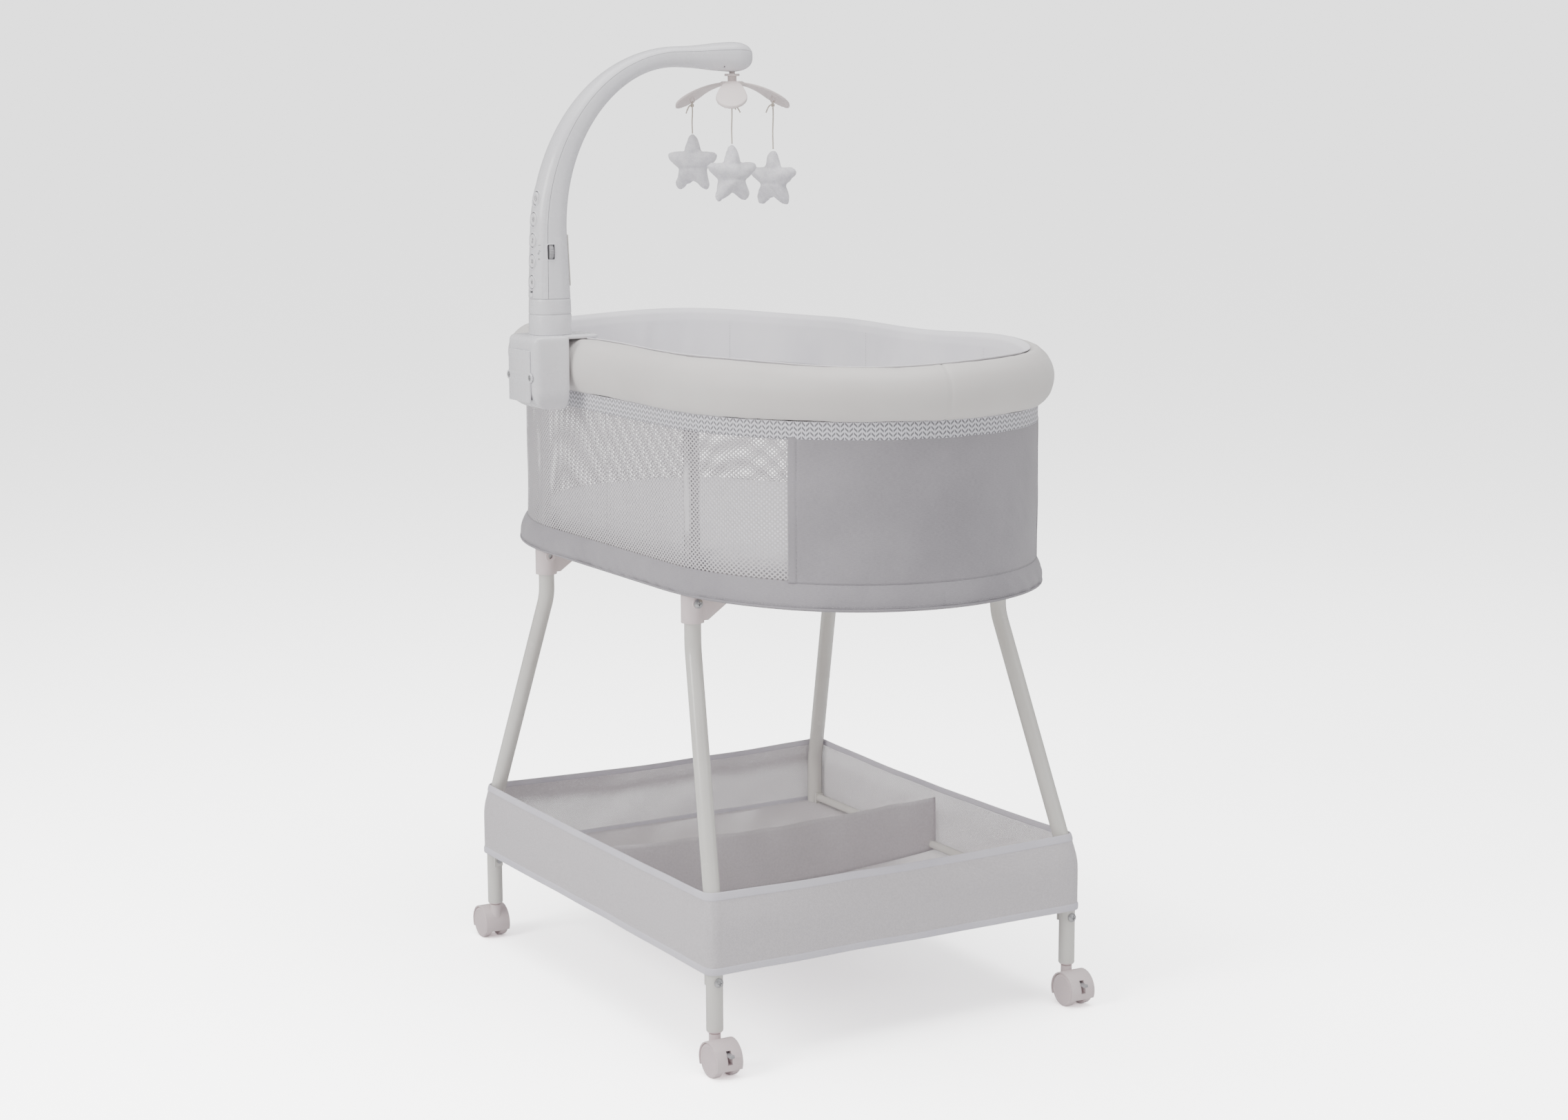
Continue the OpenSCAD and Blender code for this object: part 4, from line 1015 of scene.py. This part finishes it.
# %% Basket floor
FLOOR_SAG = 0.014
gx, gy = np.linspace(-1, 1, 120)[:, None], np.linspace(-1, 1, 100)[None]
inside = 1 - np.clip((np.abs(gx) ** 14 + np.abs(gy) ** 14), 0, 1) * 0.012
fx, fy = (g * (foot + CORNER_R - 0.0015) * inside for g, foot in ((gx, FOOT_X), (gy, FOOT_Y)))
uneven = ripple(gx, gy, 27, [(2, 3, 0.0012), (3, 5, 0.0006)], 2) * (1 - gx**8) * (1 - gy**8)
fz = 0.1165 - FLOOR_SAG * (1 - gx**2) * (1 - gy**2) + uneven
basket_base = surface("basket_base", np.stack([fx, fy, fz], -1), np.stack([fx, fy], -1))
skin(basket_base, 0.0009)
hand_over(basket_base, basket_net, "stand", "basket_mesh", "basket_floor")
print("basket floor sags", 1000 * FLOOR_SAG, "mm")

# %% Basket partition
dy, dz = np.linspace(-0.2420, 0.2420, 90)[:, None], np.linspace(0, 1, 14)[None]
floor_at = 0.1168 - FLOOR_SAG * (1 - (dy / 0.247) ** 2)
top_at = 0.1835 - 0.006 * np.cos(dy * 6.2) ** 2
dx = ripple(dy, dz * 0.4, 31, [(1, 4, 0.004), (2, 9, 0.0014)], 0.48) * dz
partition = np.stack(np.broadcast_arrays(dx, dy, floor_at + dz * (top_at - floor_at)), -1)
divider = surface("basket_partition", partition, np.stack(np.broadcast_arrays(dy, dz * 0.07), -1))
skin(divider, 0.0009)
hand_over(divider, basket_net, "stand", "basket_mesh", "basket_divider")
print("basket is bound and hung")

# %% [markdown]
# ## Moulded parts with broken edges
# A moulded edge is never sharp: the tool gives it a small radius, and that thin line of light is
# what reads as plastic. The CAD already has the right shape, so a copy of it gets its flat faces
# merged and then a narrow bevel on each hard edge. The bevel width is at most a millimetre or two.

# %% Softened copies of the CAD parts
BODY_OF = {name: obj.parent for name, obj in frame["nodes"].items()}
BODY_NAME = {body: name for name, body in frame["bodies"].items()}


def softened(node, material, slot, width, segments=3):
    """A copy of a CAD node with its flat faces merged, its hard edges rounded and the rest shaded smooth."""
    mesh = frame["nodes"][node].data.copy()
    obj = linked(node + "_moulding", mesh)
    bm = bmesh.new()
    bm.from_mesh(mesh)
    bmesh.ops.remove_doubles(bm, verts=bm.verts, dist=0.00001)
    bmesh.ops.dissolve_limit(bm, angle_limit=math.radians(1.0), verts=bm.verts, edges=bm.edges)
    bm.to_mesh(mesh)
    bm.free()
    mesh.shade_smooth()
    bevel = obj.modifiers.new("broken_edge", "BEVEL")
    bevel.width = width
    bevel.segments = segments
    bevel.limit_method = "ANGLE"
    bevel.angle_limit = math.radians(32)
    bevel.miter_outer = "MITER_ARC"
    settle(obj)
    obj.data.set_sharp_from_angle(angle=math.radians(38))
    hand_over(obj, material, BODY_NAME[BODY_OF[node]], slot, node)


MOULDED = [("leg_sockets", blush_plastic, "blush_plastic", 0.0012, 3),
           ("caster_sleeves", blush_plastic, "blush_plastic", 0.0005, 3),
           ("clamp_jaw", white_plastic, "gloss_white", 0.0015, 3),
           ("arm_base", white_plastic, "gloss_white", 0.0009, 3),
           ("door_screws", zinc, "zinc", 0.0002, 2),
           ("volume_wheel", grey_plastic, "grey_plastic", 0.0003, 2),
           ("power_switch", key_plastic, "gloss_white", 0.0006, 3),
           ("motor_spindle", cream_plastic, "cream_plastic", 0.0004, 2),
           ("base_board", board, "fibreboard", 0.0006, 2)]
for corner in CORNERS:
    softened("caster_" + corner, blush_plastic, "blush_plastic", 0.0009)
    softened("wheels_" + corner, wheel_plastic, "wheel_plastic", 0.0013)
for corner in CORNERS[:2]:
    softened("brake_" + corner, grey_plastic, "grey_plastic", 0.0005, 2)
for node, material, slot, width, segments in MOULDED:
    softened(node, material, slot, width, segments)
print(2 * len(CORNERS) + 2 + len(MOULDED), "moulded parts have broken edges")

# %% [markdown]
# ## The clip-on housing
# The housing is one blow of glossy plastic with generous radii, and a bevel can't round edges that
# already curve. A voxel remesh rebuilds it from small cubes, and smoothing then melts every edge
# to the same soft radius. The battery bay behind the door survives, because it is much larger. Then
# the lower corners are drawn in: the width is scaled by one minus a power of the depth below a line.

# %% Melted copies


def points_of(mesh, kind="co"):
    """Three numbers for each point of a mesh, its place or its normal, one row a point."""
    values = np.empty(len(mesh.vertices) * 3)
    mesh.vertices.foreach_get(kind, values)
    return values.reshape(-1, 3)


def move_points(mesh, places):
    mesh.vertices.foreach_set("co", places.reshape(-1))
    mesh.update()


def in_voxels(obj, size):
    """Adds a voxel remesh, which rebuilds the piece from small cubes of this size."""
    remesh = obj.modifiers.new("voxels", "REMESH")
    remesh.mode = "VOXEL"
    remesh.voxel_size = size


def melted(node, material, slot, voxel, rounds):
    """A copy rebuilt from voxels and smoothed: each round moves a point half way to its neighbours' mean."""
    obj = linked(node + "_moulding", frame["nodes"][node].data.copy())
    weld_mesh(obj, 0.00001)
    in_voxels(obj, voxel)
    smooth = obj.modifiers.new("melt", "SMOOTH")
    smooth.factor = 0.5
    smooth.iterations = rounds
    settle(obj)
    obj.data.shade_smooth()
    return hand_over(obj, material, BODY_NAME[BODY_OF[node]], slot, node)


TAPER, TAPER_HIGH = 0.36, 0.026
housing = melted("mount_housing", white_plastic, "gloss_white", 0.0013, 34)
place = points_of(housing.data)
low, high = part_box("mount_housing")
middle = (low.x + high.x) / 2
drawn_in = 1 - TAPER * np.clip((low.z + TAPER_HIGH - place[:, 2]) / TAPER_HIGH, 0, 1) ** 2.6
place[:, 0] = middle + (place[:, 0] - middle) * drawn_in
move_points(housing.data, place)
melted("mobile_hub", cream_plastic, "cream_plastic", 0.0008, 5)
softened("battery_door", white_plastic, "gloss_white", 0.0007)
print("housing has", len(housing.data.polygons), "faces")

# %% [markdown]
# ## The arm
# The arm is two moulded half shells that meet in one long seam. Its section is a squared ellipse
# carried up a straight, round a quarter ellipse and along a level head. The same formula makes
# both shells, the button rings and the printed signs, so that everything lies on one surface.

# %% Arm section
ARM_X, ARM_Y, ARM_Z, ARM_BEND, ARM_RISE, ARM_REACH, HEAD = -0.080, -0.245, 0.809, 0.900, 0.203, 0.170, 0.100
PATH_AT = [0, 1, 1.3, 1.6, 1.85, 2.2, 2.55, 2.75, 3]
HALF_DEPTH = np.array([24, 20.5, 17, 14, 11.7, 12.9, 16.6, 17.8, 17.8]) * MM
HALF_WIDTH = np.array([22, 19.5, 17.7, 16.0, 13.7, 15, 18.6, 19.7, 19.7]) * MM
SQUARE = 0.78


def squared(v):
    """A sine or cosine made fuller, which turns an ellipse into a squared ellipse."""
    return np.sign(v) * np.abs(v) ** SQUARE


def arm_point(u, a, inset=0.0):
    """The arm's surface at path value u and angle a, a quarter turn being the back: the path's point plus
    depth across it and width along X, both averaged over nearby u. inset metres are taken off each."""
    u, a = np.broadcast_arrays(np.asarray(u, float), np.asarray(a, float))
    bend = np.clip(u - 1, 0, 1) * HALF_PI
    cy = ARM_Y + ARM_REACH * (1 - np.cos(bend)) + HEAD * np.clip(u - 2, 0, None)
    cz = ARM_Z + (ARM_BEND - ARM_Z) * np.clip(u, 0, 1) + ARM_RISE * np.sin(bend)
    ty, tz = ARM_REACH * np.sin(bend), ARM_RISE * np.cos(bend)
    long = np.hypot(ty, tz)
    spread = np.linspace(-0.09, 0.09, 9)
    deep = np.mean([np.interp(u + d, PATH_AT, HALF_DEPTH) for d in spread], 0)
    wide = np.mean([np.interp(u + d, PATH_AT, HALF_WIDTH) for d in spread], 0)
    cap = (1 - np.clip((u - 2.70) / 0.30, 0, 1) ** 2.5) ** (1 / 2.5)
    deep, wide = np.maximum(deep * cap - inset, 0), np.maximum(wide * cap - inset, 0)
    out = deep * squared(np.sin(a))
    return np.stack([ARM_X + wide * squared(np.cos(a)), cy - tz / long * out, cz + ty / long * out], -1)


def on_back(x, z, proud=0.0):
    """The point of the arm's back at x and z, found by halving the interval of path values."""
    x, z = np.broadcast_arrays(np.asarray(x, float), np.asarray(z, float))
    low, high = np.zeros(x.shape), np.full(x.shape, 1.8)
    for _ in range(40):
        u = (low + high) / 2
        wide = np.interp(u, PATH_AT, HALF_WIDTH)
        a = np.arccos(np.clip(np.sign(x - ARM_X) * (np.abs(x - ARM_X) / wide) ** (1 / SQUARE), -1, 1))
        point = arm_point(u, a, -proud)
        low, high = np.where(point[..., 2] < z, u, low), np.where(point[..., 2] < z, high, u)
    return point


print("the arm's tip is at y", round(float(arm_point(3, 0)[1]), 3), "m")

# %% Shell blanks
cap_u = 2.7 + 0.3 * np.sin(np.linspace(0, 1, 24) * HALF_PI)
BACK_U = np.concatenate([np.linspace(0.2, 1, 40)[:-1], np.linspace(1, 2.7, 110)[:-1], cap_u])[:, None]
SEAM_A = math.radians(22)
back_a = np.linspace(SEAM_A + 0.022, math.pi - SEAM_A - 0.022, 97)[None]
face = arm_point(BACK_U, back_a)
plate_x = np.clip((0.0172 - np.abs(face[..., 0] - ARM_X)) / 0.0009, 0, 1)
plate_z = np.clip((face[..., 2] - 0.8275) / 0.0006, 0, 1) * np.clip((0.957 - face[..., 2]) / 0.004, 0, 1)
plate = (plate_x * plate_z)[..., None]
arm_back = surface("arm_back_shell", face + plate * (arm_point(BACK_U, back_a, -0.0004) - face))
front_a = np.linspace(math.pi - SEAM_A, 2 * math.pi + SEAM_A, 121)[None]
arm_front = surface("arm_front_shell", arm_point(BACK_U, front_a, 0.0002))
COLLAR_TOP, SHELL_THICK = 0.1955, 0.0022
collar_u, ring_a = np.linspace(0.0, COLLAR_TOP, 12)[:, None], np.linspace(0, 2 * math.pi, 145)[None]
COLLAR_EDGES = [(0.0, 0.0006), (COLLAR_TOP, 0.0005)]
collar_in = sum(deep * np.exp(-(((collar_u - at) / 0.006) ** 2)) for at, deep in COLLAR_EDGES)
collar = surface("arm_collar", arm_point(collar_u, ring_a, collar_in))
for shell in (arm_back, arm_front, collar):
    skin(shell, SHELL_THICK, -1)
    settle(shell)
print("shells and collar are", 1000 * SHELL_THICK, "mm thick")

# %% [markdown]
# ## Openings in the arm
# The openings in the shells are cut with solid tools, as a mould's cores would leave them: five
# round holes for the keys, a slot for the switch and a window for the volume wheel. The shading
# is then split at edges over 30 degrees, so that the cut rims stay crisp.

# %% Cutting tools
KEYS = {"timer": 0.942, "light": 0.918, "music": 0.894, "waves": 0.870, "spin": 0.846}


def drum(place, radius, long, axis="Y"):
    """A closed cylinder round place along an axis."""
    bm = bmesh.new()
    bmesh.ops.create_cone(bm, cap_ends=True, segments=64, radius1=radius, radius2=radius, depth=long)
    about = {"X": "Y", "Y": "X"}.get(axis)
    spin = Matrix.Rotation(HALF_PI, 4, about) if about else Matrix.Identity(4)
    bm.transform(Matrix.Translation(place) @ spin)
    return bm


def block(low, high):
    """A closed box between two corners."""
    bm = bmesh.new()
    bmesh.ops.create_cube(bm, size=1)
    low, high = Vector(low), Vector(high)
    bm.transform(Matrix.Translation((low + high) / 2) @ Matrix.Diagonal((*(high - low), 1)))
    return bm


def cut(piece, tools):
    """Takes the tools away from the piece with an exact Boolean."""
    cutter_mesh = bpy.data.meshes.new("cutter")
    whole = bmesh.new()
    for tool in tools:
        part = bpy.data.meshes.new("tool")
        tool.to_mesh(part)
        tool.free()
        whole.from_mesh(part)
        bpy.data.meshes.remove(part)
    whole.to_mesh(cutter_mesh)
    whole.free()
    cutter = linked("cutter", cutter_mesh)
    boolean = piece.modifiers.new("cut", "BOOLEAN")
    boolean.operation = "DIFFERENCE"
    boolean.solver = "EXACT"
    boolean.object = cutter
    bpy.context.view_layer.update()
    settle(piece)
    bpy.data.objects.remove(cutter)
    piece.data.shade_smooth()
    piece.data.set_sharp_from_angle(angle=math.radians(30))


print(len(KEYS), "key holes to cut")

# %% Openings
GAP, SWITCH_RUN = 0.0004, 0.0025
WINDOW = ((-0.0670, -0.2555, 0.8725), (-0.0500, -0.2470, 0.8895))
switch_low, switch_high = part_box("power_switch")
switch_slot = block((switch_low.x - GAP, -0.29, switch_low.z - GAP),
                    (switch_high.x + GAP, -0.26, switch_high.z + SWITCH_RUN + GAP))
key_holes = [drum((ARM_X, -0.268, z), 0.0084, 0.024) for z in KEYS.values()]
cut(arm_back, key_holes + [switch_slot, block(*WINDOW)])
side_hole = drum((-0.062, -0.0185, 1.0915), 0.0011, 0.012, "X")
spindle_hole = drum((ARM_X, 0, 1.086), 0.0038, 0.012, "Z")
cut(arm_front, [block(*WINDOW), side_hole, spindle_hole])
collar.data.set_sharp_from_angle(angle=math.radians(35))
hand_over(arm_back, white_plastic, "arm", "gloss_white", "arm_outer_shell")
hand_over(arm_front, white_plastic, "arm", "gloss_white", "arm_inner_shell")
hand_over(collar, white_plastic, "arm", "gloss_white")
softened("night_light_lens", lens_plastic, "lens_plastic", 0.0004, 2)
print("arm shells:", len(arm_back.data.polygons), "and", len(arm_front.data.polygons), "faces")

# %% Trim rings and the window frame
VOLUME_Z, RING_R = 0.881, 0.0092
rings = []
t = np.linspace(0, 2 * math.pi, 73)
for z in KEYS.values():
    round_key = on_back(ARM_X + RING_R * np.cos(t), z + RING_R * np.sin(t), 0.0003)
    rings.append(tube("ring", round_key, 0.0008, 10, ends=False))
corner_t = np.linspace(0, 2 * math.pi, 81)
boxy = [np.sign(v) * np.abs(v) ** 0.3 for v in (np.cos(corner_t), np.sin(corner_t))]
wy, wz = -0.25125 + 0.0049 * boxy[0], VOLUME_Z + 0.0092 * boxy[1]
here = np.clip((wz - ARM_Z) / (ARM_BEND - ARM_Z), 0, 1)
sine = np.clip(np.abs(wy - ARM_Y) / np.interp(here, PATH_AT, HALF_DEPTH), 0, 1) ** (1 / SQUARE)
wx = ARM_X + np.interp(here, PATH_AT, HALF_WIDTH) * np.sqrt(1 - sine**2) ** SQUARE
rings.append(tube("frame", np.stack([wx, wy, wz], -1), 0.0006, 8, ends=False))
hand_over(join("key_rings", rings), white_plastic, "arm", "gloss_white")
print(len(rings), "trim rings are laid on the arm")

# %% [markdown]
# ## Keys and printed signs
# Each key is a turned button with a raised lip and a shallow dish. Its sign is generic: a clock, a
# sun, a note, waves and a turning star, laid on as thin strokes of grey ink.

# %% Turned keys and generic signs
LIP = np.array([(0, 0.35), (4.6, 0.45), (5.5, 0.9), (6.4, 1.0), (7.0, 0.7), (7.35, 0.0), (7.4, -0.9),
                (7.4, -5.0), (7.0, -5.3), (0, -5.3)]) * MM


def turned(name, profile, place):
    """A profile of radius and height turned about the line through place that points to -Y."""
    angle = np.linspace(0, 2 * math.pi, 73)[None]
    radius, height = profile[:, :1], profile[:, 1:]
    x, z = place[0] + radius * np.cos(angle), place[2] + radius * np.sin(angle)
    return surface(name, np.stack(np.broadcast_arrays(x, place[1] - height, z), -1))


def arc_line(r, a0, a1, n=25, cx=0.0, cz=0.0):
    """Points of an arc of radius r round cx and cz, from angle a0 to a1 in degrees."""
    t = np.radians(np.linspace(a0, a1, n))
    return np.stack([cx + r * np.cos(t), cz + r * np.sin(t)], -1)


def spoke(a, start, stop):
    """A stroke along the ray at angle a in radians, between two distances from the centre."""
    return np.outer([start, stop], [math.cos(a), math.sin(a)])


wavy = 0.55 * np.sin(np.linspace(0, 3 * math.pi, 21))
SIGNS = {
    "timer": [arc_line(2.8, 70, 400), np.array([(0, 1.7), (0, 0), (1.1, -0.9)])],
    "light": [arc_line(1.3, 0, 360)] + [spoke(a, 2.1, 3.1) for a in np.linspace(0, 2 * math.pi, 9)[:-1]],
    "music": [arc_line(0.9, 0, 360, 17, -0.9, -2.0), np.array([(0, -2.0), (0, 2.6)]),
              np.array([(0, 2.6), (1.6, 1.5), (1.7, 0.4)])],
    "waves": [np.stack([np.linspace(-2.8, 2.8, 21), k + wavy], -1) for k in (-1.6, 0, 1.6)],
    "spin": [spoke(a, -3, 3) for a in (HALF_PI, HALF_PI + math.pi / 3, HALF_PI - math.pi / 3)],
}
print("signs:", ", ".join(SIGNS))

# %% Printing the signs


def printed(name, strokes, place, body, width=0.00026, lay=None):
    """Ink strokes: thin tubes along 2-D lines, stood on a face at place or laid on a surface by lay(x, z)."""
    made = []
    for line in strokes:
        at = np.linspace(0, len(line) - 1, 4 * len(line))
        fine = np.stack([np.interp(at, np.arange(len(line)), line[:, k]) for k in (0, 1)], -1) * MM
        x, z = place[0] + fine[:, 0], place[2] + fine[:, 1]
        path = lay(x, z) if lay else np.stack([x, np.full(len(x), place[1]), z], -1)
        made.append(tube("stroke", path, width, 6))
    return hand_over(join(name, made), mark_ink, body, "grey_plastic")


def lay_on_back(x, z):
    return on_back(x, z, 0.0004)


for key, z in KEYS.items():
    button, face_y = "button_" + key, float(on_back(ARM_X, z)[1]) + 0.0004
    hand_over(turned("key_" + key, LIP, (ARM_X, face_y, z)), key_plastic, button, "gloss_white", button)
    printed("sign_" + key, SIGNS[key], (ARM_X, face_y - 0.00047, z), button)
volume_signs = [np.array([(-1.3, 8.0), (1.3, 8.0)]), np.array([(-1.2, -8.0), (1.2, -8.0)]),
                np.array([(0, -6.8), (0, -9.2)]), arc_line(0.8, 0, 360, 17, -0.8, -1.6),
                np.array([(0, -1.6), (0, 2.0), (1.4, 1.0)])]
printed("sign_volume", volume_signs, (ARM_X + 0.0128, 0, VOLUME_Z), "arm", lay=lay_on_back)
dot = [np.array([(0, 0), (0, 0.01)])]
printed("sign_power", dot, (ARM_X + 0.0055, 0, 0.8302), "arm", width=0.0004, lay=lay_on_back)
print("keys and signs are set")

# %% [markdown]
# ## Stuffed stars
# Each star is two plush shapes sewn face to face, turned and stuffed. Stuffing pushes every arm
# round, and the seam holds the outline. A short cloth simulation with pressure inside does exactly
# that to a voxel copy of the CAD star. A cap on the movement keeps the star its own size.

# %% Stuffing by cloth pressure


def plump(node, voxel, pressure, cap, pull):
    """A stuffed copy: shrink by pull, remesh, blow up with Blender's Cloth for 20 frames, then move each
    point at most cap."""
    mesh = frame["nodes"][node].data.copy()
    obj = linked(node + "_plush", mesh)
    weld_mesh(obj, 0.00001)
    low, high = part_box(node)
    centre = np.array((low + high) / 2)
    move_points(mesh, centre + (points_of(mesh) - centre) * pull)
    in_voxels(obj, voxel)
    settle(obj)
    start = points_of(obj.data)
    cloth = obj.modifiers.new("stuffing", "CLOTH")
    plush_cloth = {"quality": 6, "mass": 0.15, "use_pressure": True, "uniform_pressure_force": pressure,
                   "tension_stiffness": 20, "compression_stiffness": 20, "bending_stiffness": 0.4}
    for setting, value in plush_cloth.items():
        setattr(cloth.settings, setting, value)
    cloth.settings.effector_weights.gravity = 0
    cloth.collision_settings.use_self_collision = False
    for k in range(1, 21):
        bpy.context.scene.frame_set(k)
    settle(obj)
    bpy.context.scene.frame_set(1)
    move = points_of(obj.data) - start
    size = np.linalg.norm(move, axis=1, keepdims=True)
    move_points(obj.data, start + move * np.minimum(1, cap / np.maximum(size, 1e-9)))
    smooth = obj.modifiers.new("even", "SMOOTH")
    smooth.factor, smooth.iterations = 0.5, 4
    subdivide = obj.modifiers.new("fine", "SUBSURF")
    subdivide.levels = subdivide.render_levels = 1
    settle(obj)
    obj.data.shade_smooth()
    return obj


def crease(obj, seed, depth):
    """Folds that run in from between the arms, and the lumps of stuffing: points move along their normals."""
    co, normal = points_of(obj.data), points_of(obj.data, "normal")
    flat = co - co.mean(0)
    across = np.hypot(flat[:, 0], flat[:, 1]) * np.sign(flat[:, 0] + 1e-9)
    angle, reach = np.arctan2(across, flat[:, 2]), np.hypot(across, flat[:, 2]) / 0.03
    level, rise = co[:, 0] / 0.02 + co[:, 1] / 0.031, co[:, 2] / 0.023
    lumps = ripple(level, rise, seed, [(1, 1, 0.0007), (2, 2, 0.0003)])
    valley = -depth * np.clip(-np.cos(5 * angle), 0, 1) ** 3 * np.exp(-((reach - 0.45) ** 2) / 0.09)
    move_points(obj.data, co + normal * (lumps + valley)[:, None])


for seed, side in enumerate(("left", "middle", "right")):
    star = plump("star_" + side, 0.0022, 4.0, 0.0045, 0.93)
    crease(star, 40 + seed, 0.0016)
    hand_over(star, plush, "star_" + side, "plush", "star_" + side)
    print("star", side, "has", len(star.data.polygons), "faces")

# %% [markdown]
# ## Strings and knots
# Each star hangs on a cotton string, tied to an eyelet under its blade. The string is sewn into the
# star's top point, so both its ends go back into the object. The knot is a loop drawn tight, and its
# two loose tails stick out, which is how the eye tells a tied string from a rod.

# %% Strings
EYE_Z, KNOT_Z = 1.0492, 1.0460
TAILS = {"left": [(-70, 0.0125), (-150, 0.007)], "middle": [(60, 0.011), (20, 0.006)],
         "right": [(-160, 0.012), (150, 0.006)]}
for side in TAILS:
    low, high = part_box("string_" + side)
    x, y = (low.x + high.x) / 2, (low.y + high.y) / 2
    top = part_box("star_" + side)[1].z
    z = np.linspace(EYE_Z - 0.0006, top - 0.0042, 30)
    t = np.linspace(0, 1, 30)
    sway = 0.0003 * np.sin(np.pi * t)
    path = np.stack([x + sway * np.sin(7 * t), y + sway * np.sin(5 * t + 1), z], -1)
    string = tube("string_of_" + side, path, 0.0009, 10)
    hand_over(string, cotton_cord, "star_" + side, "cord_cotton", "string_" + side)
    turn_t = np.linspace(0, 4 * math.pi, 61)
    wrap_z = KNOT_Z + 0.0011 * np.cos(turn_t * 0.5 + 0.4) + 0.0004 * np.sin(3 * turn_t)
    wrap = np.stack([x + 0.00125 * np.cos(turn_t), y + 0.00125 * np.sin(turn_t), wrap_z], -1)
    loop_t = np.linspace(0, 2 * math.pi, 41)
    around = np.stack([0.0009 * np.cos(loop_t), 0.00102 * np.sin(loop_t), 0.0019 * np.sin(loop_t)], -1)
    eye = [x, y, KNOT_Z + 0.0028] + around
    parts = [tube("wrap", wrap, 0.0009, 10), tube("eye", eye, 0.0008, 10, ends=False)]
    for heading, long in TAILS[side]:
        a, f = math.radians(heading), np.linspace(0, 1, 16)
        away = 0.0012 + long * 0.8 * f
        tail_z = KNOT_Z + long * (0.15 * np.sin(3 * f) - 0.75 * f**1.6)
        tail = np.stack([x + math.cos(a) * away, y + math.sin(a) * away, tail_z], -1)
        parts.append(tube("tail", tail, np.interp(f, [0, 0.9, 1], [0.0008, 0.0008, 0.0009]), 10))
    knot = hand_over(join("knot_of_" + side, parts), cotton_cord, "star_" + side, "cord_cotton")
    long = float(np.linalg.norm(np.diff(path, axis=0), axis=1).sum())
    print("string", side, "is", round(long * 1000, 1), "mm long")

# %% [markdown]
# ## The parts that keep their CAD shape
# Bent tubes, bolts and the parts inside are right as the CAD made them, so they only need a finish.
# A table of names against finishes does it, and the last line counts what still has none.

# %% Finishes for the CAD nodes
TUBES = ["side_rails", "cross_bars", "lower_frame", "upper_frame", "corner_posts"]
KEPT = {name: tube_paint for name in TUBES + ["leg_" + corner for corner in CORNERS]}
KEPT.update(frame_bolts=zinc, batteries=zinc, motor=zinc, circuit_board=board_resin)
for name, obj in frame["nodes"].items():
    if name in KEPT:
        obj.data.materials.clear()
        obj.data.materials.append(KEPT[name])
left_over = [n for n, o in frame["nodes"].items() if n not in KEPT and not o.hide_render]
print("shown without their own finish:", left_over)

# %% [markdown]
# The finished model has to stay the size of the CAD. The two boxes are printed side by side.

# %% Sizes


def plain(value):
    """A box as plain lists of numbers."""
    return [plain(v) for v in value] if hasattr(value, "__len__") else float(value)


boxes = {"cad": plain(cad_box), "visual": plain(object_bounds())}
print(boxes)
